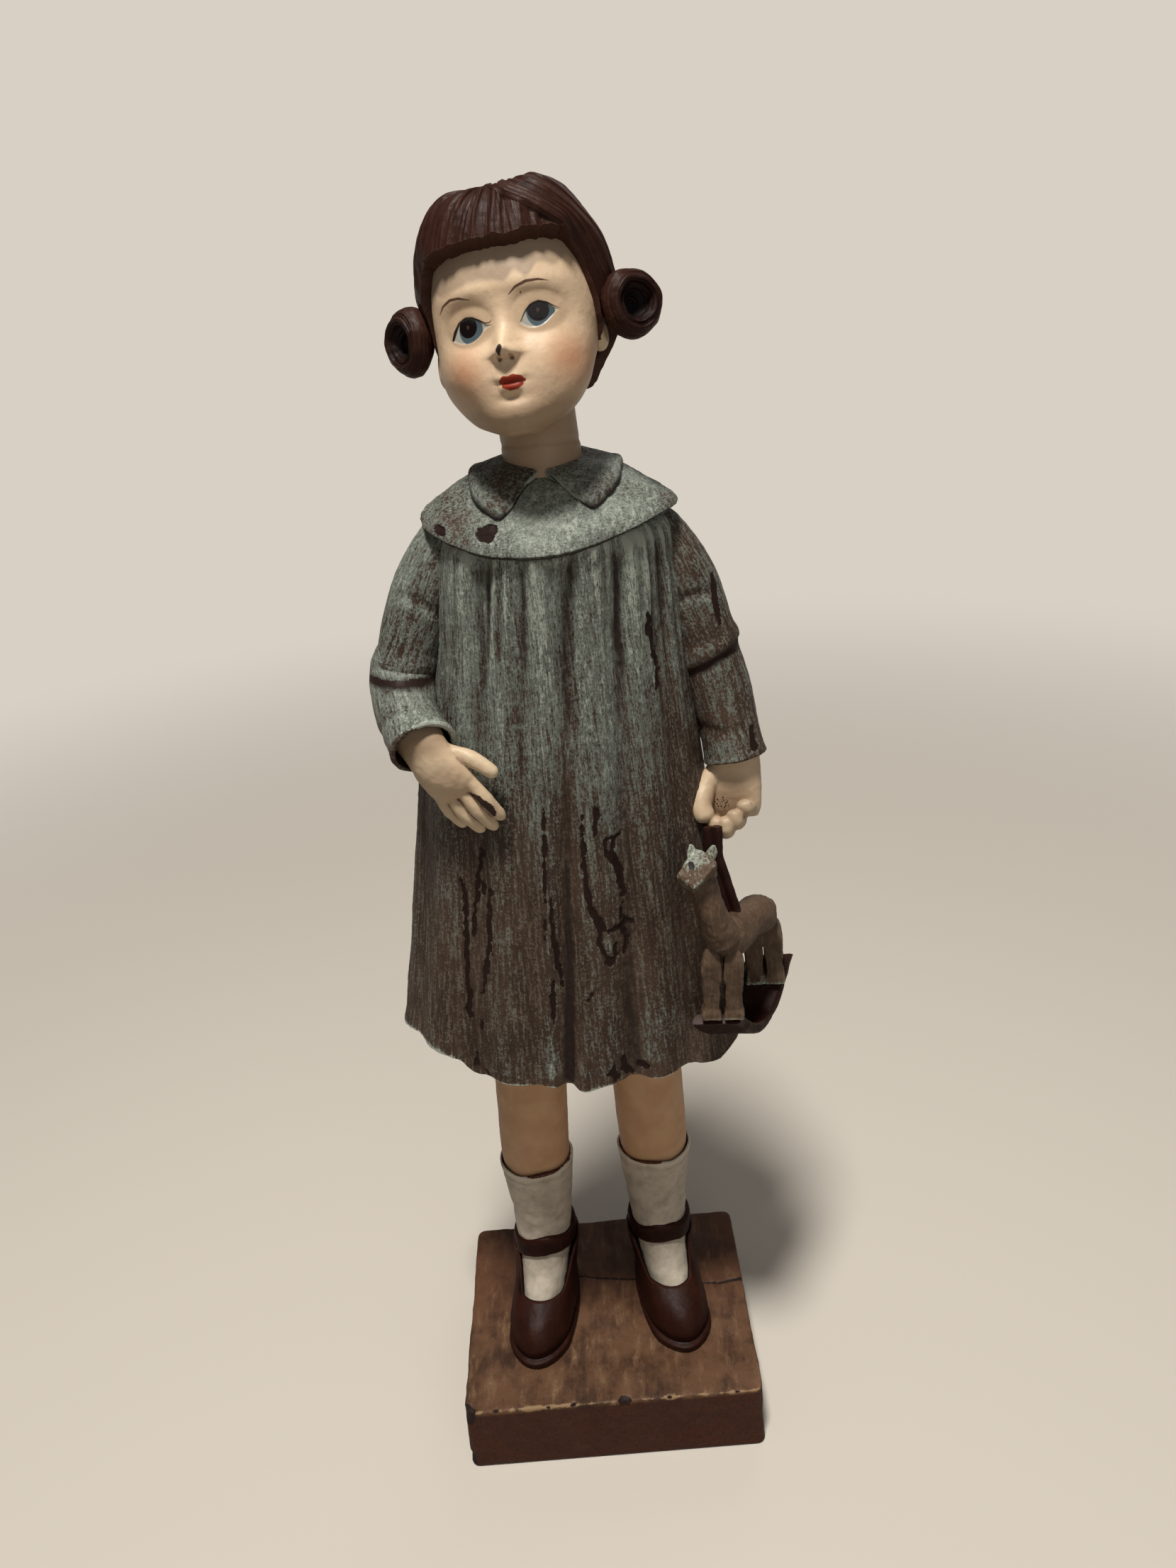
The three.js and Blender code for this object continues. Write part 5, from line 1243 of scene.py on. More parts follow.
# Rows: place along the palm or digit, shares of its width and depth
PALM_SIZES = [
    [0, 0.97, 1.92], [0.2, 0.97, 1.87], [0.36, 0.92, 1.45], [0.55, 0.95, 1.1], [0.9, 1, 0.9],
    [1, 0.9, 0.62],
]
DIGIT_SIZES = [
    [0, 0.95, 0.9], [0.3, 0.94, 0.9], [0.5, 1.03, 0.97], [0.7, 0.94, 0.9], [0.88, 0.9, 0.8],
    [0.96, 0.66, 0.6], [1, 0.3, 0.28],
]
# The palm's middle line, and each digit's with its girth, as shares of the hand's length
OPEN_HAND = dict(
    palm=[[-0.117, -0.217, -0.2], [-0.04, -0.07, -0.067], [0, 0.03, 0.24], [0.01, 0, 0.55]],
    digits=[
        ([[0.19, 0, 0.4], [0.23, 0.02, 0.7], [0.2, -0.05, 0.97]], 1),
        ([[0.06, 0.02, 0.42], [0.08, 0.03, 0.74], [0.06, -0.05, 1.03]], 1.02),
        ([[-0.06, 0.02, 0.42], [-0.07, 0.03, 0.72], [-0.08, -0.05, 0.99]], 1),
        ([[-0.18, 0, 0.38], [-0.22, 0.01, 0.62], [-0.22, -0.05, 0.87]], 0.88),
        ([[0.12, -0.04, 0.1], [0.32, -0.05, 0.31], [0.45, -0.05, 0.57]], 1.12),
    ],
)
CLOSED_HAND = dict(
    palm=[[0.08, 0.05, -0.4], [0.02, -0.03, -0.1], [0, -0.05, 0.35], [0, -0.05, 0.82]],
    digits=[
        ([[0.2, 0.02, 0.62], [0.22, -0.12, 0.97], [0.2, -0.36, 0.95], [0.18, -0.4, 0.76]], 1),
        ([[0.06, 0.04, 0.62], [0.07, -0.12, 0.98], [0.06, -0.4, 0.93], [0.05, -0.42, 0.74]], 1),
        ([[-0.08, 0.04, 0.6], [-0.08, -0.12, 0.85], [-0.06, -0.38, 0.81], [-0.04, -0.38, 0.65]], 0.98),
        ([[-0.2, 0.02, 0.46], [-0.2, -0.1, 0.66], [-0.18, -0.32, 0.64], [-0.14, -0.34, 0.53]], 0.9),
        ([[0.22, -0.06, 0.18], [0.37, -0.18, 0.42], [0.4, -0.33, 0.64], [0.3, -0.44, 0.83]], 1.25),
    ],
)


# The worn line on the open palm: rows of place to the thumb, along the fingers, and half width
PALM_CHIP = [(2.3, 8.2, 0.3), (3.0, 9.2, 0.6), (3.3, 10.6, 0.6), (3.0, 12.2, 0.4)]
PINHOLES = dict(count=19, middle=(1.3, 6.5), spread=(0.27, 0.2), turn=2.4)  # on the closed hand


def hand_frame(wrist, fingers_to, back_to):
    along = Vector(fingers_to).normalized()
    back = Vector(back_to) - along * along.dot(Vector(back_to))
    back.normalize()
    thumb = back.cross(along)
    return np.array([thumb, back, along]), np.array(wrist)


RIGHT_HAND_FRAME = hand_frame(RIGHT_ARM["cuff"], (0.5, -0.1, -0.86), (-0.42, -0.9, 0))
LEFT_HAND_FRAME = hand_frame(LEFT_ARM["cuff"], (-0.07, -0.14, -1), (0.25, 1, 0))


def pinholes(x, y, z):
    """How far inside one of the pinholes scattered over the palm each place lies."""
    inside = []
    for k in range(1, PINHOLES["count"] + 1):
        away, angle = math.sqrt(k), k * PINHOLES["turn"]
        u = PINHOLES["middle"][0] + PINHOLES["spread"][0] * away * math.sin(angle)
        v = PINHOLES["middle"][1] + PINHOLES["spread"][1] * away * math.cos(angle)
        inside.append(0.09 + 0.03 * (k % 3) - np.hypot(x - u, z - v))
    return np.where(y < 0, np.maximum.reduce(inside), OUTSIDE)


def make_hand(name, shares, size, place, paint):
    axes, wrist = place

    def digit(line, radii, sizes, rings, count):
        line = np.array(line) * size["length"]
        return loft(limb(line, *radii, sizes, (1, 0, 0), rings, count) @ axes + wrist)

    skins = [digit(shares["palm"], size["palm"], PALM_SIZES, 40, 40)]
    for line, girth in shares["digits"]:
        skins.append(digit(line, [size["finger"] * girth] * 2, DIGIT_SIZES, 36, 28))
    made = blended(f"{name}_hand_skin", 0.17, 5, *skins)
    roughen(made, (0.06, 2.0, 61), (0.03, 0.6, 62))
    points = points_of(made)
    x, y, z = ((points - wrist) @ axes.T).T
    shade = 0.6 - z + 0.5 * noise(points, 2.0, 64)
    if name == "right":
        chip = np.where(y > -0.4, stroke(x, z, PALM_CHIP), OUTSIDE) + 0.15 * noise(points, 0.7, 63)
    else:
        chip = pinholes(x, y, z)
        grip = 2.7 - np.hypot((x - 0.4) * 0.9, z - 5.6)
        shade = np.maximum(shade - 1.2, np.where(y < 0, grip * 0.6, -1.0))
    add_piece(made, [f"{name}_hand"], paint, "skin_paint", 16, chip=chip, shade=shade * 0.8)


# Head, in its own frame: centre between the ears, face to -Y
HEAD = dict(x=1.0, y=-1.1, z=177.6, half_width=9.9, front=10.2, back=10.6, chin=-12.4, crown=12.6)
HEAD_TURN = Euler((-0.166, -0.098, -0.204), "XYZ")
# Rows: share of the height, then of the reach forward, the reach back and the half width
HEAD_SHARES = [
    [0, 0.8, -0.4, 0.2], [0.025, 0.9, -0.2, 0.36], [0.07, 0.975, 0.02, 0.6], [0.13, 1, 0.3, 0.79],
    [0.21, 1, 0.6, 0.93], [0.31, 0.985, 0.8, 0.985], [0.42, 0.965, 0.92, 0.995], [0.53, 0.97, 0.99, 1],
    [0.63, 0.975, 1, 0.985], [0.73, 0.94, 0.97, 0.945], [0.83, 0.84, 0.87, 0.855], [0.91, 0.67, 0.7, 0.7],
    [0.965, 0.45, 0.47, 0.48], [1, 0.14, 0.14, 0.14],
]
HEAD_SQUARENESS = 1.12
# Rows: a hollow's turn and spread round the head, its height and spread up it, its depth
HEAD_TUCKS = [[0.31, 0.09, 0.2, 0.2, 2.1], [0.84, 0.1, 0.12, 0.12, 1.1]]
HEAD_AXES = np.array(HEAD_TURN.to_matrix())
HEAD_PLACE = np.array([HEAD["x"], HEAD["y"], HEAD["z"]])
EAR = {-1: (9.9, -3.1, 2.5), 1: (9.2, -2.1, 2.0)}  # distance out, height and half length
MID = 0.45  # the middle line of the painted face
# Rows: height, how far the nose and the lip under it stand out, half width, flatness
NOSE = [
    [-7.0, 0.0, 1.9, 3], [-6.2, 0.42, 1.9, 3.4], [-5.0, 0.42, 1.6, 3.4], [-4.5, 0.7, 1.5, 3],
    [-4.05, 1.75, 1.45, 2.2], [-3.5, 2.25, 1.3, 2], [-2.8, 1.85, 1.12, 2], [-1.6, 1.05, 1.2, 2],
    [-0.2, 0.55, 1.45, 2], [1.6, 0.1, 1.9, 2], [2.6, 0, 2.1, 2],
]
# Each eye: the outline above and below as rows of x and z, and the pupil's and iris's centres
RIGHT_EYE = dict(
    top=[
        [-6.0, -1.35], [-5.6, -0.55], [-4.9, 0.2], [-3.9, 0.55], [-3.0, 0.42], [-2.2, -0.05],
        [-1.5, -0.55], [-0.9, -0.75],
    ],
    low=[
        [-6.0, -1.35], [-5.3, -1.8], [-4.4, -2.1], [-3.4, -2.05], [-2.5, -1.65], [-1.8, -1.05],
        [-0.9, -0.75],
    ],
    iris=(-3.45, -0.78, 1.5), pupil=(-3.75, -0.42, 1.12), socket=(-3.6, -0.5),
)
LEFT_EYE = dict(
    top=[[2.35, -1.0], [2.9, -0.1], [3.6, 0.62], [4.5, 0.95], [5.3, 0.7], [5.95, 0.25], [6.4, -0.05]],
    low=[[2.35, -1.0], [3.1, -1.5], [4.0, -1.65], [4.9, -1.4], [5.7, -0.75], [6.4, -0.05]],
    iris=(4.62, -0.22, 1.5), pupil=(4.4, 0.08, 1.16), socket=(4.5, -0.1),
)
EYES = (RIGHT_EYE, LEFT_EYE)
# Painted lines: rows of x, z and half width
LID_LINES = [
    [
        (-5.95, -1.3, 0.16), (-5.5, -0.6, 0.2), (-4.8, 0.2, 0.1), (-3.9, 0.58, 0.06),
        (-3.0, 0.44, 0.07), (-2.2, -0.02, 0.1), (-1.6, -0.38, 0.06), (-1.0, -0.42, 0.05),
        (-0.75, -0.2, 0.03),
    ],
    [
        (2.45, -0.85, 0.03), (3.0, 0.0, 0.05), (3.7, 0.68, 0.08), (4.6, 0.97, 0.07), (5.4, 0.72, 0.1),
        (6.1, 0.3, 0.06), (6.7, 0.0, 0.03),
    ],
]
BROWS = [
    [(-7.3, 1.75, 0.05), (-6.6, 2.35, 0.13), (-5.4, 2.72, 0.15), (-4.2, 2.62, 0.12), (-2.9, 2.2, 0.04)],
    [(1.6, 1.95, 0.04), (2.5, 2.62, 0.12), (3.7, 3.0, 0.16), (5.0, 3.05, 0.12), (6.0, 2.85, 0.04)],
]
LIPS = [
    [
        (-0.55, -6.9, 0.22), (-0.1, -6.75, 0.42), (0.45, -6.85, 0.42), (1.0, -6.72, 0.48),
        (1.7, -6.85, 0.38), (2.1, -7.0, 0.18),
    ],
    [(-0.2, -7.3, 0.3), (0.5, -7.45, 0.48), (1.2, -7.45, 0.42), (1.7, -7.25, 0.28)],
]
LIP_LINE = [(-0.5, -7.0, 0.02), (0.2, -7.15, 0.07), (0.8, -7.05, 0.05), (1.3, -7.15, 0.06), (2.0, -7.1, 0.02)]
NOSE_CHIP = [(0.05, -3.75, 0.3), (0.3, -3.45, 0.32), (0.0, -4.1, 0.16)]
# Rows: x, z and radius
SPECKS = [(2.9, 2.0, 0.09), (-1.0, 3.9, 0.07)]
NOSTRILS = [(MID - 0.72, -4.45, 0.26), (MID + 0.72, -4.45, 0.3)]
CHEEKS = [(-4.9, -5.4, 2.0), (7.4, -5.2, 1.9)]
# Rows: height, distance from the middle line and its spread, z and its spread. The first set is
# on both sides: nostril wings, nostrils, cheeks and brows. The second is the lips' line and chin.
SIDE_FORMS = [
    (0.28, 1.15, 0.55, -4.05, 0.55), (-0.3, 0.72, 0.3, -4.5, 0.28), (0.75, 5.2, 3.1, -5.5, 3.0),
    (0.35, 4.2, 3.2, 2.9, 1.3),
]
MIDDLE_FORMS = [(-0.22, 0, 1.3, -7.12, 0.16), (-0.3, 0, 2.0, -8.75, 0.6), (0.45, 0, 2.6, -10.6, 2.0)]
# Rows: height, half width, z and spread
LIP_FORMS = [(0.42, 1.9, -6.75, 0.5), (0.5, 1.5, -7.6, 0.5)]
# Heights and radii of the neck, which leans by NECK_LEAN from its foot to its top
NECK = [[158.4, 6.2], [160.5, 5.7], [162.5, 5.15], [165, 4.95], [168, 5.0], [171.6, 5.1]]
NECK_LEAN = 0.9 / 12.6


def to_head(points):
    return (points - HEAD_PLACE) @ HEAD_AXES


def from_head(points):
    return points @ HEAD_AXES.T + HEAD_PLACE


def skull(turn, share):
    front, back, width = table_at(HEAD_SHARES, share)
    half = (HEAD["front"] * front + HEAD["back"] * back) / 2
    point = oval(turn, HEAD["half_width"] * width, half, half, HEAD_SQUARENESS)
    point[..., 1] += (HEAD["back"] * back - HEAD["front"] * front) / 2
    for at, spread, height, tall, depth in HEAD_TUCKS:
        tuck = swell(turn_apart(turn, at), spread) * swell(share - height, tall)
        point *= 1 - depth / HEAD["half_width"] * tuck[..., None]
    point[..., 2] = mix(HEAD["chin"], HEAD["crown"], share)
    return point


def eye_inside(eye, x, z):
    """How far inside the eye's outline each place lies."""
    inside = np.minimum(curve_at(eye["top"], x) - z, z - curve_at(eye["low"], x))
    ends = np.minimum(x - eye["top"][0][0], eye["top"][-1][0] - x)
    return np.minimum(inside * 0.85, ends)


def face_relief(x, z):
    """How far the face stands out of the plain skull."""
    across = x - MID
    rise, width, flat = table_at(NOSE, z)
    relief = rise * np.exp(-(np.abs(across / width) ** flat)) * smooth(-7.2, -6.4, z) * smooth(2.6, 1.6, z)
    for side in (-1, 1):
        for height, away, wide, level, tall in SIDE_FORMS:
            relief = relief + height * swell(across - side * away, wide) * swell(z - level, tall)
    for eye in EYES:
        right, up = x - eye["socket"][0], z - eye["socket"][1]
        relief = relief - 1.05 * np.exp(-(np.hypot(right / 3.3, up / 2.35) ** 2.4))
        relief = relief + 0.6 * smooth(0, 1, 1 - (right / 3.1) ** 2 - (up / 2.3) ** 2)
        relief = relief - 0.12 * smooth(-0.1, 0.15, eye_inside(eye, x, z))
    for height, half_width, level, tall in LIP_FORMS:
        relief = relief + height * np.maximum(0, 1 - (across / half_width) ** 2) * swell(z - level, tall)
    for height, away, wide, level, tall in MIDDLE_FORMS:
        relief = relief + height * swell(across - away, wide) * swell(z - level, tall)
    return relief


def discs(x, z, rows, flatness=1.0):
    """How far inside one of the discs (x, z, radius) each place lies."""
    return np.maximum.reduce([radius - np.hypot(x - u, (z - v) * flatness) for u, v, radius in rows])


def face_marks(local, height):
    """The painted face; local places are in the head's frame, heights are over the ground."""
    x, y, z = local.T
    front = np.where(y < -2, 0.0, OUTSIDE)
    ball = np.maximum.reduce([eye_inside(eye, x, z) for eye in EYES]) + front
    glints = [(eye["pupil"][0] - 0.02, eye["pupil"][1] + 0.02, 0.15) for eye in EYES]
    hollows = [np.hypot((x - eye["socket"][0]) * 0.8, (z - eye["socket"][1] - 0.2) * 1.1) for eye in EYES]
    # Painted shadow: a band of the forehead under the fringe, darkened where the fringe shades it.
    fringe_shadow = z - 3.8 + 0.9 * noise(local, (1.3, 6.0, 6.0), 73) - 0.8 * smooth(2, 6, x)
    chin_shadow = np.maximum(-z - 8.8, 0.2 * (170.0 - height)) * 0.6 - 0.1
    return dict(
        eye_white=ball,
        iris=np.minimum(discs(x, z, [eye["iris"] for eye in EYES]), ball),
        pupil=np.minimum(discs(x, z, [eye["pupil"] for eye in EYES]), ball),
        glint=discs(x, z, glints, 0.8) + front,
        lid=stroke_set(x, z, LID_LINES) + front,
        lid_shade=2.6 - np.minimum(*hollows) + front,
        brow=stroke_set(x, z, BROWS) + front,
        lip=stroke_set(x, z, LIPS) + front,
        lip_line=stroke(x, z, LIP_LINE) + front,
        # painted shade in the hollows of the nostrils
        nostril_shade=discs(x, z, NOSTRILS) + front,
        painted_fringe_shadow=fringe_shadow,
        blush=discs(x, z, CHEEKS, 0.95) + front * 0.3,
        chip=np.maximum(stroke(x, z, NOSE_CHIP), discs(x, z, SPECKS)) + front,
        shade=np.minimum(chin_shadow, 0.6),
    )


def face_rings():
    even = turns(400)
    turn = even - 0.085 * np.sin(even * TAU)
    chin, face, crown = np.linspace(0, 0.06, 26), np.linspace(0.06, 0.64, 190), np.linspace(0.64, 1, 40)
    share = np.concatenate([chin[:-1], face, crown[1:]])[:, None]
    point = skull(turn, np.broadcast_to(share, (share.size, turn.size)))
    forward = np.clip(-point[..., 1] / HEAD["front"], 0, 1)
    point[..., 1] -= face_relief(point[..., 0], point[..., 2]) * forward * (point[..., 1] < 0)
    return from_head(point)


def ear_rings(side):
    out, height, half_length = EAR[side]
    angle, level = turns(40) * TAU, steps(30, -0.97, 0.97)
    ring = np.sqrt(1 - level**2)
    axes = (1.25 * ring * np.cos(angle), 1.7 * ring * np.sin(angle), half_length * level)
    lobe = np.stack(np.broadcast_arrays(*axes), -1)
    hollow = 0.6 * swell(lobe[..., 1] + 0.2, 0.8) * swell(lobe[..., 2] - 0.3, 1.1) * (lobe[..., 0] > 0)
    lobe[..., 0] = (lobe[..., 0] - hollow) * side
    return from_head(lobe + [side * out, 0.7, height])


def neck_rings():
    turn, foot, top = turns(110), NECK[0][0], NECK[-1][0]
    z = steps(70, foot, top)
    crease = 1 - 0.02 * swell(z - 164.2 - 0.4 * np.cos(turn * TAU), 0.35) - 0.015 * swell(z - 161.9, 0.3)
    ring = circle(turn, curve_at(NECK, z) * crease)
    ring[..., 0] += YOKE["x"] - NECK_LEAN * (z - foot)
    ring[..., 1] += YOKE["y"]
    ring[..., 2] = z
    return ring


def make_head(paint):
    made = mesh_object("head_skin", loft(face_rings()))
    for name, rings in (("ear", ear_rings(-1)), ("ear", ear_rings(1)), ("neck", neck_rings())):
        unite(made, mesh_object(name, loft(rings)))
    roughen(made, (0.05, 3.0, 71), (0.015, 0.8, 72))
    points = points_of(made)
    marks = face_marks(to_head(points), points[:, 2])
    add_piece(made, ["head"], paint, "skin_paint", 26, crease=60, **marks)


# Hair
HAIR = dict(
    thickness=1.65, crown_x=-0.8, crown_y=-1.4, crest=0.5, sweep=0.3, nape_taper=0.9,
    flute=0.17, parting_x=0.8, parting_y=-5.0,
)
# Rows: x, width and height of each swelling of the crown
CROWN_SWELLS = [(-5.0, 4.0, 0.8), (6.8, 3.6, 1.1)]
# Rows: turn and width, share of the height and spread, depth of each swelling of the side
SIDE_SWELLS = [(0.77, 0.1, 0.7, 0.13, 0.8), (0.79, 0.1, 0.9, 0.1, 0.15)]
# Rows: azimuth in degrees, towards the girl's left, and the height of the hair's lower edge
HAIR_EDGE_HALF = [
    [42, 6.85], [52, 6.75], [58, 6.2], [62, 5.4], [66, 4.4], [71, 2.4], [77, -0.2], [82, -1.6],
    [87, -2.7], [91, -2.9], [94, -1.3], [101, -0.9], [108, -3.0], [116, -5.4], [130, -7.2], [180, -8.6],
]
FRINGE_EDGE = [[-25, 6.9], [-8, 7.05], [10, 7.15], [28, 7.0]]
HAIR_EDGE = [[-a, z] for a, z in HAIR_EDGE_HALF[::-1]] + FRINGE_EDGE + HAIR_EDGE_HALF
# The edge of the swept lock, as azimuth in degrees and height
LOCK_EDGE = [
    (-2, 14.6), (5.5, 13.1), (15.3, 11.75), (26, 10.5), (34, 9.4), (45, 8.0), (54, 6.3), (61, 4.4),
    (68, 2.2), (76, -1.0),
]
# Rows: depth under the last ring's surface, and share of the height below it, of the rim's rings
HAIR_RIM = ((0.08, 0.002), (0.3, 0.0035), (0.7, 0.004), (1.2, 0.004), (2.1, 0.003))
HAIR_PITS = [(5.0, 13.0, 0.2), (-0.6, 13.0, 0.16)]
UNROLL = 10.0  # millimetres of surface to a radian of azimuth


def lock_side(azimuth, z):
    """Distance from the swept lock's edge, positive on the lock."""
    u = UNROLL * azimuth
    line = [(UNROLL * math.radians(a), b) for a, b in LOCK_EDGE]
    best, sign = np.full(u.shape, np.inf), np.ones(u.shape)
    for (au, av), (bu, bv) in zip(line[:-1], line[1:]):
        du, dv = bu - au, bv - av
        t = np.clip(((u - au) * du + (z - av) * dv) / (du * du + dv * dv), 0, 1)
        away = np.hypot(u - au - t * du, z - av - t * dv)
        side = np.sign((u - au) * -dv + (z - av) * du)
        nearer = away < best
        best, sign = np.where(nearer, away, best), np.where(nearer, side, sign)
    return best * sign


def strands(places, seed):
    """Grooves across places in millimetres, in clumps of uneven width."""
    clumps = 0.55 * line_noise(places, 1.5, seed)
    return clumps + 0.3 * line_noise(places, 0.62, seed + 1) + 0.15 * line_noise(places, 0.33, seed + 2)


def hair_surface(turn, share, extra):
    """The cap of hair over the skull, thicker by extra."""
    point = skull(turn, share)
    radius = np.hypot(point[..., 0], point[..., 1])[..., None]
    out = point * [1, 1, 0] / radius * np.minimum(radius / 4.5, 1)
    rise = smooth(0.6, 1, share)
    swept = HAIR["sweep"] * swell(turn_apart(turn, 0.17), 0.2) * swell(share - 0.9, 0.35)
    for at, wide, height, tall, deep in SIDE_SWELLS:
        swept = swept + deep * swell(turn_apart(turn, at), wide) * swell(share - height, tall)
    swept = swept - HAIR["nape_taper"] * (1 - smooth(0.1, 0.45, share))
    thick = HAIR["thickness"] + swept - HAIR["flute"] + extra
    point = point + out * thick[..., None]
    point[..., 0] += HAIR["crown_x"] * rise**3
    point[..., 1] += HAIR["crown_y"] * rise**3
    point[..., 2] += thick * rise + HAIR["crest"] * rise * point[..., 0] / HEAD["half_width"]
    for at, wide, high in CROWN_SWELLS:
        point[..., 2] += high * rise * swell(point[..., 0] - at, wide)
    return point


def hair_relief(share, x, y, z):
    """Strands, parting, the step of the swept lock and thin edges, as extra thickness."""
    azimuth = np.arctan2(x, -y)
    beside_face = np.abs(azimuth)
    side = lock_side(azimuth, z)
    on_lock = smooth(-0.12, 0.35, side) * smooth(-0.1, 0.15, azimuth) * smooth(2.3, 1.9, azimuth)
    fan = np.arctan2(x - HAIR["parting_x"], -(y - HAIR["parting_y"]))
    swirl = fan * 7.0 + 1.0 * np.sin(z * 0.25)
    grooves = mix(strands(swirl, 83), strands(side * 1.15, 87), on_lock)
    depth = 0.36 * smooth(0.0, 0.05, 1 - share) * np.where(beside_face > 1.9, 0.8, 1.0)
    edge_line = [(math.radians(a) * UNROLL, b, 0.0) for a, b in HAIR_EDGE]
    near_edge = smooth(3.2, 0.0, -stroke(azimuth * UNROLL, z, edge_line))
    thinned = near_edge * smooth(0.75, 1.0, beside_face) * smooth(1.75, 1.6, beside_face)
    lock_step = on_lock * mix(0.65, 0.1, smooth(6.5, 12, z)) * (1 - thinned)
    parting = -0.8 * swell(x - HAIR["parting_x"] - 0.5, 0.35) * smooth(9, 12, z)
    parting = parting * smooth(-8.5, -6.5, y) * smooth(5, 2, y)
    fringe = 0.1 * smooth(1.1, 0.7, beside_face) * smooth(10.5, 7.0, z) * (1 - on_lock)
    return grooves * depth + lock_step + parting + fringe - 1.05 * thinned


def hair_rings():
    turn, rows = turns(760), 230
    brow = skull(turn, np.full(turn.shape, 0.7))[0]
    azimuth = np.arctan2(brow[:, 0], -brow[:, 1])
    ragged = 0.16 * line_noise(azimuth * UNROLL, 1.0, 81) + 0.1 * line_noise(azimuth * UNROLL, 0.45, 82)
    edge_z = curve_at(HAIR_EDGE, np.degrees(azimuth)) + ragged
    edge = (edge_z - HEAD["chin"]) / (HEAD["crown"] - HEAD["chin"])
    share = 1 - (1 - edge) * steps(rows)
    base = hair_surface(turn, share, np.zeros(share.shape))
    extra = hair_relief(share, *np.moveaxis(base, -1, 0))
    rings = [hair_surface(turn, share, extra)]
    for sunk, drop in HAIR_RIM:
        rings.append(hair_surface(turn, edge[None] - drop, extra[-1:] - sunk))
    for t in (0.2, 0.5, 0.8, 0.97):
        rings.append(hair_surface(turn, mix(edge, 1.0, t)[None], np.full(turn.shape, -2.1)))
    return from_head(np.concatenate(rings))


def make_hair(paint):
    made = mesh_object("hair_cap", loft(hair_rings()))
    roughen(made, (0.05, 2.5, 91), (0.03, 0.6, 92))
    x, y, z = to_head(points_of(made)).T
    fan = np.arctan2(x - HAIR["parting_x"], -(y - HAIR["parting_y"]))
    side = lock_side(np.arctan2(x, -y), z)
    on_lock = (side > 0) & (x > 0)
    across = np.where(on_lock, 30 + 1.15 * side, fan * 7)
    flow = np.stack([across, 0 * across, np.where(on_lock, x * 0.8 - z * 0.6, z)], -1)
    add_piece(made, ["hair"], paint, "hair_paint", 22, flow=flow, chip=discs(x, z, HAIR_PITS))


BUN = dict(y=-0.5, half_depth=2.15, pitch=1.25, coil=0.3, dish=2.3, out=0.62)
BUN_PLACE = {-1: (13.6, 0.6, 3.95), 1: (13.65, 0.25, 3.83)}  # distance out, height and radius


def bun_rings(side, radius_out):
    """Rings over the coiled front of a bun and round its back, in its own frame."""
    turn = turns(200)[0]
    wobble = 1 + 0.02 * np.cos(turn * TAU * 3 + side) + 0.012 * np.cos(turn * TAU * 7)
    rings = []
    for share in np.linspace(0.03, 1, 90):
        radius = radius_out * share
        coil = 0.5 + 0.5 * np.cos((radius / BUN["pitch"] - turn) * TAU)
        thread = 0.05 * np.cos((radius / 0.3 - turn) * TAU) + 0.04 * np.cos((radius / 0.47 - 2 * turn) * TAU)
        dome = BUN["half_depth"] * math.sqrt(max(0, 1 - share**4)) - BUN["dish"] * smooth(0.7, 0.1, share)
        relief = (BUN["coil"] * coil**2 + thread) * math.sin(share * math.pi) ** 0.6
        ring = circle(turn, radius * wobble)
        ring[:, 2] = dome - relief
        rings.append(ring)
    for share in np.cos(np.linspace(0.06, 1.5, 40)):
        ring = circle(turn, radius_out * share * wobble * (1 + 0.01 * np.cos(share * 40)))
        ring[:, 2] = -BUN["half_depth"] * math.sqrt(1 - share**2)
        rings.append(ring)
    return np.array(rings)


def make_bun(side, name, paint):
    out, height, radius = BUN_PLACE[side]
    place = np.array([side * out, BUN["y"], height])
    sideways = side * BUN["out"]
    axis = np.array([sideways, -math.sqrt(1 - sideways**2), 0])
    axes = np.array([np.cross([0, 0, 1], axis), [0, 0, 1], axis])
    made = mesh_object(f"{name}_bun_coil", loft(from_head(bun_rings(side, radius) @ axes + place)))
    roughen(made, (0.14, 1.8, 95 + side), (0.05, 0.6, 96))
    x, y, z = ((to_head(points_of(made)) - place) @ axes.T).T
    away = np.hypot(x, y)
    flow = np.stack([away * 1.2, z, np.arctan2(x, y) * 3], -1)
    # Painted shade: the hollow middle of the bun, darkened with the near-black chip paint.
    chip = (2.3 - away) * 0.3 + np.where(z > -1, 0, OUTSIDE)
    add_piece(made, [f"{name}_bun"], paint, "hair_paint", 20, flow=flow, chip=chip)


# Toy rocking horse. Rows are points as shares of its width, length and height.
TOY = dict(x=25.4, y=-5.4, z=76.7, slant=0.6, length=19.6, width=7.0, height=36.3, rise=6.9, board=1.6)
TOY_ALONG = np.array([math.sin(TOY["slant"]), math.cos(TOY["slant"]), 0])
TOY_ACROSS = np.array([math.cos(TOY["slant"] / 6), -math.sin(TOY["slant"] / 6), 0])
HORSE = dict(
    body=[[0.1, -0.47, 0.565], [0.1, -0.2, 0.535], [0.1, 0.08, 0.515], [0.1, 0.28, 0.47]],
    neck=[[0.1, -0.42, 0.565], [-0.04, -0.46, 0.69], [-0.24, -0.47, 0.86]],
    head=[[-0.13, -0.42, 0.915], [-0.25, -0.5, 0.885], [-0.38, -0.58, 0.85]],
    right_ear=[[-0.34, -0.46, 0.91], [-0.4, -0.45, 0.955], [-0.42, -0.45, 0.99]],
    left_ear=[[-0.1, -0.44, 0.92], [-0.04, -0.43, 0.95], [-0.01, -0.43, 0.98]],
    tail=[[0.1, 0.25, 0.53], [0.12, 0.33, 0.48], [0.12, 0.36, 0.37]],
)
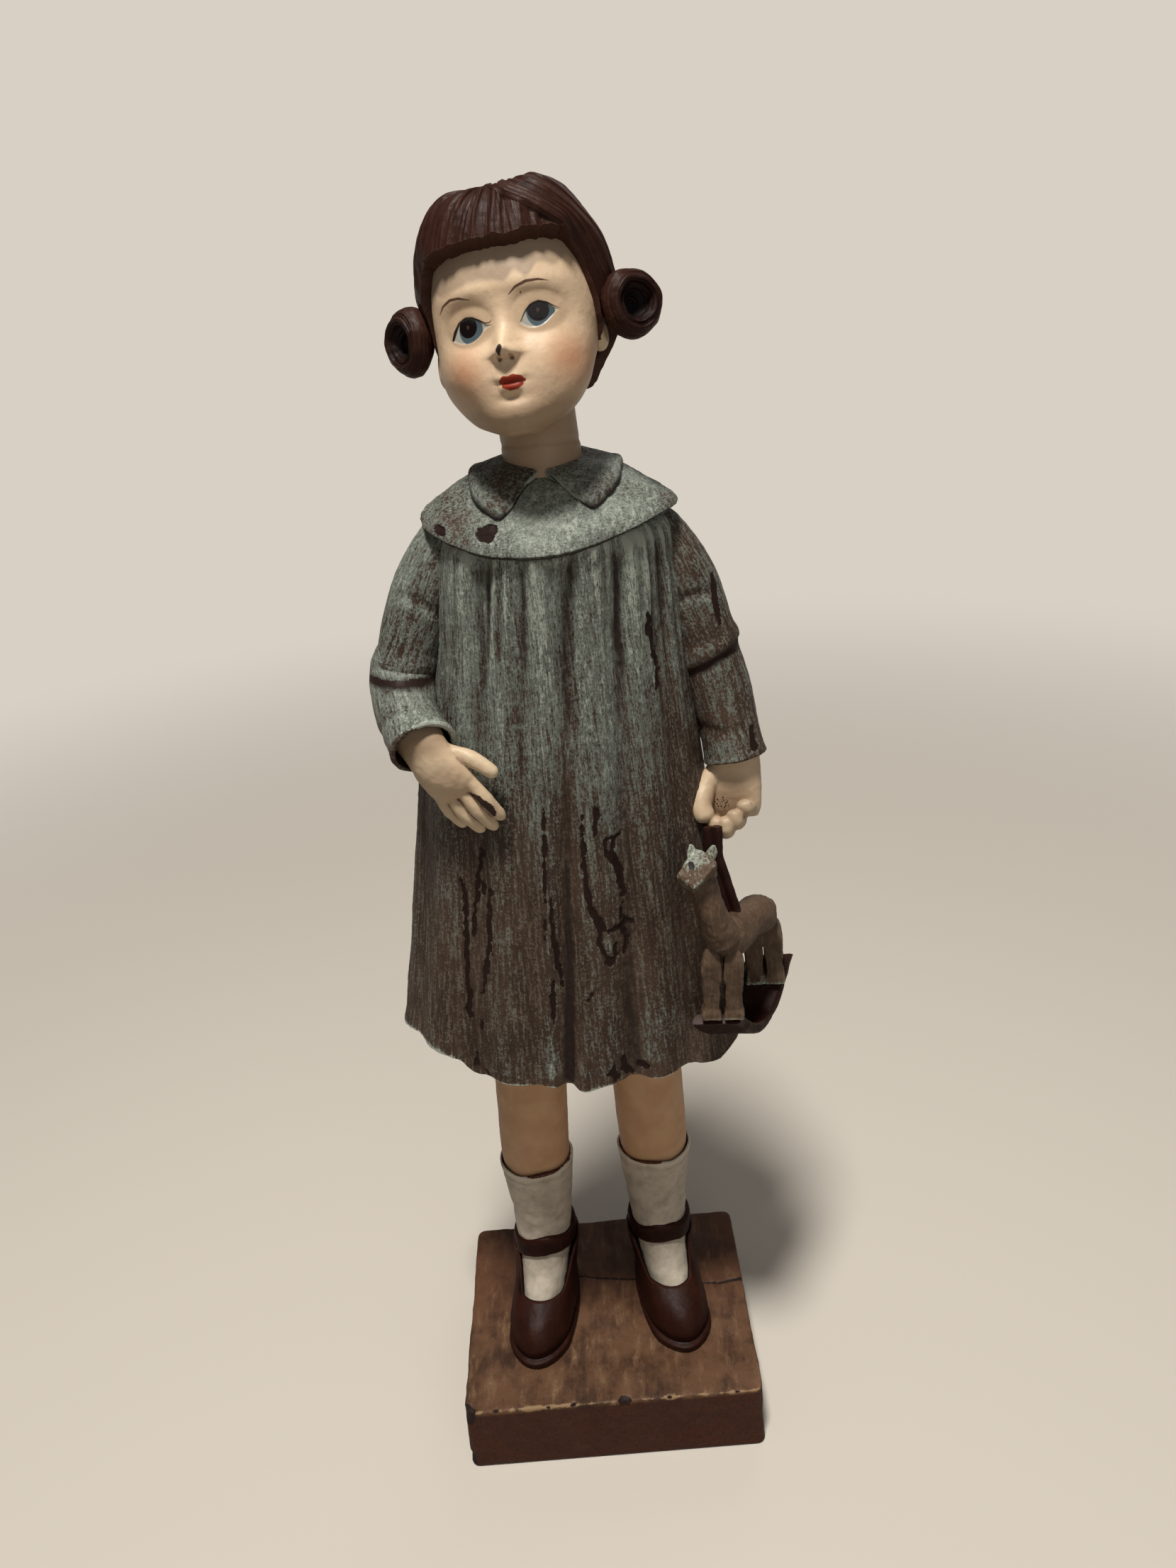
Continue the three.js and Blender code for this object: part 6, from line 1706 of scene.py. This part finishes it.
HORSE_LEGS = {
    "front_leg_right": [[-0.1, -0.44, 0.54], [-0.12, -0.45, 0.38], [-0.12, -0.46, 0.222]],
    "front_leg_left": [[0.32, -0.44, 0.54], [0.33, -0.45, 0.38], [0.33, -0.46, 0.222]],
    "hind_leg_right": [[-0.1, 0.2, 0.46], [-0.12, 0.26, 0.33], [-0.12, 0.3, 0.14]],
    "hind_leg_left": [[0.26, 0.2, 0.46], [0.3, 0.26, 0.33], [0.3, 0.3, 0.14]],
}
TOY_STRAP = [[-0.42, -0.12, 0.98], [-0.37, -0.15, 0.86], [-0.2, -0.16, 0.74], [-0.02, -0.17, 0.61]]
# Rows: place along the limb, shares of its width and depth
HORSE_BODY_SIZES = [
    [0, 0.5, 0.55], [0.06, 0.8, 0.9], [0.2, 1, 1.05], [0.5, 0.92, 0.9], [0.8, 1, 1.02],
    [0.95, 0.75, 0.8], [1, 0.35, 0.4],
]
HORSE_LEG_SIZES = [
    [0, 0.5, 0.5], [0.12, 1.0, 1.0], [0.3, 1.15, 1.2], [0.55, 1, 1], [0.85, 0.9, 0.9],
    [0.92, 1.05, 1.1], [1, 1.05, 1.1],
]
HORSE_HEAD_SIZES = [[0, 0.75, 0.8], [0.12, 1, 1.02], [0.6, 0.92, 0.88], [0.95, 0.82, 0.74], [1, 0.7, 0.6]]
HORSE_NECK_SIZES = [[0, 1.15, 1.3], [0.5, 1, 1.1], [1, 0.85, 0.9]]
HORSE_EAR_SIZES = [[0, 1.1, 1.1], [0.6, 1, 0.8], [1, 0.4, 0.4]]
HORSE_RADII = dict(body=2.95, neck=2.15, head=1.95, ear=0.7, leg=1.3)
HIND_GIRTH = 1.12
HORSE_EYE = (17.3, 110.4, 0.42)  # x, z and radius
STRAP = dict(half_width=1.35, half_depth=0.65, groove=0.42)


def toy_point(shares):
    across, along, up = np.moveaxis(np.asarray(shares, float), -1, 0)[..., None]
    base = [TOY["x"], TOY["y"], TOY["z"]] + up * TOY["height"] * [0, 0, 1]
    return base + across * TOY["width"] * TOY_ACROSS + along * TOY["length"] * TOY_ALONG


def toy_limb(shares, radius, sizes, rings=50, count=40, **more):
    return loft(limb(toy_point(shares), radius, radius, sizes, TOY_ACROSS, rings, count, **more))


def make_board(paint):
    along = np.linspace(-0.5, 0.5, 90)
    middle = toy_point(np.stack([0 * along, along, 0 * along], -1))
    middle[:, 2] += TOY["rise"] * 4 * along**2
    slope = (8 * TOY["rise"] * along / TOY["length"])[:, None]
    up = np.array([0, 0, 1]) - TOY_ALONG * slope
    up /= np.linalg.norm(up, axis=1, keepdims=True)
    across, rise = rounded_outline(TOY["width"] / 2, TOY["board"] / 2, 0.4, 72).T[..., None]
    ring = middle[:, None] + across * TOY_ACROSS + (rise + TOY["board"] / 2) * up[:, None]
    made = mesh_object("rocker_curve", loft(ring))
    roughen(made, (0.12, 2.5, 101), (0.05, 0.7, 102))
    add_piece(made, ["rocker_board"], paint, "rocker_paint", 12)


def make_horse(paint):
    radii = HORSE_RADII
    body = blended(
        "horse_torso", 0.18, 3,
        toy_limb(HORSE["body"], radii["body"], HORSE_BODY_SIZES, 60, 60),
        toy_limb(HORSE["neck"], radii["neck"], HORSE_NECK_SIZES),
        toy_limb(HORSE["tail"], radii["leg"], DIGIT_SIZES),
    )
    head = blended(
        "horse_skull", 0.14, 1,
        toy_limb(HORSE["head"], radii["head"], HORSE_HEAD_SIZES, 30, 48, squareness=0.8),
        *(toy_limb(HORSE[ear], radii["ear"], HORSE_EAR_SIZES) for ear in ("right_ear", "left_ear")),
    )
    for made in (body, head):
        roughen(made, (0.18, 1.6, 103), (0.07, 0.6, 104))
    points = points_of(body)
    cover = 0.05 + 0.2 * noise(points, 2.0, 105)
    add_piece(body, ["horse_body"], paint, "horse_paint", 14, cover=cover)
    points = points_of(head)
    x, y, z = points.T
    cover = 1.0 + 0.2 * noise(points, 2.0, 105) - 0.35 * smooth(111.5, 109.0, z)
    eye = discs(x, z, [HORSE_EYE]) + np.where(y < -12, 0, OUTSIDE)
    add_piece(head, ["horse_head"], paint, "horse_paint", 14, cover=cover, chip=eye)


def make_horse_legs(paint):
    for name, line in HORSE_LEGS.items():
        girth = HORSE_RADII["leg"] * (HIND_GIRTH if "hind" in name else 1.0)
        skin = toy_limb(line, girth, HORSE_LEG_SIZES, 70, 44, squareness=0.9)
        made = mesh_object(f"horse_{name}_cast", skin)
        roughen(made, (0.14, 1.5, 106), (0.05, 0.5, 107))
        cover = -0.1 + 0.55 * smooth(86.5, 84, points_of(made)[:, 2])
        add_piece(made, [f"horse_{name}"], paint, "horse_paint", 12, cover=cover)


def make_toy_strap(paint):
    def groove(share, angle):
        return -STRAP["groove"] * swell(np.cos(angle), 0.3) + 0 * share

    line, even = toy_point(TOY_STRAP), [[0, 1, 1], [1, 1, 1]]
    strap = limb(line, STRAP["half_width"], STRAP["half_depth"], even, TOY_ACROSS, 70, 60, groove)
    made = mesh_object("horse_strap_band", loft(strap))
    roughen(made, (0.10, 2.0, 108), (0.04, 0.6, 109))
    add_piece(made, ["horse_strap"], paint, "strap_paint", 12)


# Stage: a pale floor that fades into a pale surround, and soft lamps
PALE = "#d8d0c4"
SURROUND = (0.11, 0.105, 0.1, 1)
BOUNCE = "#a39c92"  # the floor's colour in the light that it throws back
FADE_START, FADE_END = 0.16, 0.55


def make_floor():
    bpy.ops.mesh.primitive_circle_add(vertices=96, radius=6.0, fill_type="NGON")
    floor = bpy.context.object
    floor.name = "floor"
    material = bpy.data.materials.new("floor")
    nodes = Nodes(material)
    shader = nodes.tree.nodes["Principled BSDF"]
    seen = nodes.node("ShaderNodeLightPath", {}, "Is Camera Ray")
    mirrored = nodes.node("ShaderNodeLightPath", {}, "Is Glossy Ray")
    nodes.put(shader.inputs["Roughness"], 0.8)
    nodes.put(shader.inputs["Base Color"], nodes.blend(seen, rgb(BOUNCE), rgb(PALE)))
    place = nodes.node("ShaderNodeTexCoord", {}, "Object")
    away = nodes.node("ShaderNodeVectorMath", {0: place}, "Value", operation="LENGTH")
    fade = nodes.step(away, FADE_START, FADE_END)
    share = nodes.math("MULTIPLY", nodes.math("MAXIMUM", seen, mirrored), fade)
    glow = nodes.node("ShaderNodeEmission", {"Color": rgb(PALE)})
    mixed = nodes.node("ShaderNodeMixShader", {0: share, 1: shader.outputs[0], 2: glow})
    nodes.put(nodes.tree.nodes["Material Output"].inputs["Surface"], mixed)
    floor.data.materials.append(material)


def make_world():
    world = bpy.data.worlds.new("surround")
    bpy.context.scene.world = world
    nodes = Nodes(world)
    background = nodes.tree.nodes["Background"]
    seen = nodes.node("ShaderNodeLightPath", {}, "Is Camera Ray")
    nodes.put(background.inputs["Color"], nodes.blend(seen, SURROUND, rgb(PALE)))
    nodes.put(background.inputs["Strength"], 1.0)


def add_lamp(name, place, size, power, colour):
    data = bpy.data.lights.new(name, "AREA")
    data.shape = "DISK"
    data.size = size
    data.energy = power
    data.color = colour
    lamp = bpy.data.objects.new(name, data)
    bpy.context.scene.collection.objects.link(lamp)
    lamp.location = place
    aim = LAMPS_AIM - Vector(place)
    lamp.rotation_euler = aim.to_track_quat("-Z", "Y").to_euler()


# The whole scene. Rows: name, place in metres, width, power and colour of each lamp
LAMPS = [
    ("key", (-0.05, -0.168, 0.69), 0.1, 4.3, (1.0, 0.97, 0.92)),
    ("fill", (0.2, -0.6, 0.3), 0.5, 0.5, (1.0, 0.98, 0.95)),
    ("rim", (0.2, 0.5, 0.5), 0.4, 0.3, (1.0, 0.98, 0.95)),
]
LAMPS_AIM = Vector((0, 0, 0.11))

make_camera()
make_block()
skin = skin_paint("hand_paint", "#c0a688", "#e6d2b2")
shoes = shoe_paint("shoe_paint", "#29110a", "#412015")
straps = shoe_paint("shoe_strap_paint", "#1e0904", "#31150c")
socks = sock_paint()
cloth = dress_paint("dress_paint")
hair = hair_paint()
for side, name in ((-1, "right"), (1, "left")):
    make_leg(side, name, skin_paint(f"{name}_leg_paint", "#bf926a", "#dab38b"))
    make_sock(side, name, socks)
    make_shoe(side, name, shoes)
    make_shoe_strap(side, name, straps)
    make_collar(side, name, cloth)
    make_bun(side, name, hair)
make_dress(cloth)
make_yoke(cloth)
make_sleeves("right", RIGHT_ARM, cloth)
make_sleeves("left", LEFT_ARM, cloth)
make_hand("right", OPEN_HAND, HAND, RIGHT_HAND_FRAME, skin)
make_hand("left", CLOSED_HAND, FIST, LEFT_HAND_FRAME, skin)
make_head(skin_paint("face_paint", "#d4b797", "#e4cbab", FACE_MARKS))
make_hair(hair)
rocker = shoe_paint("rocker_paint", "#220e09", "#3c221a")
make_board(rocker)
wood = horse_paint()
make_horse(wood)
make_horse_legs(wood)
make_toy_strap(rocker)
make_floor()
make_world()
for lamp in LAMPS:
    add_lamp(*lamp)
bpy.context.scene.view_settings.view_transform = "Standard"
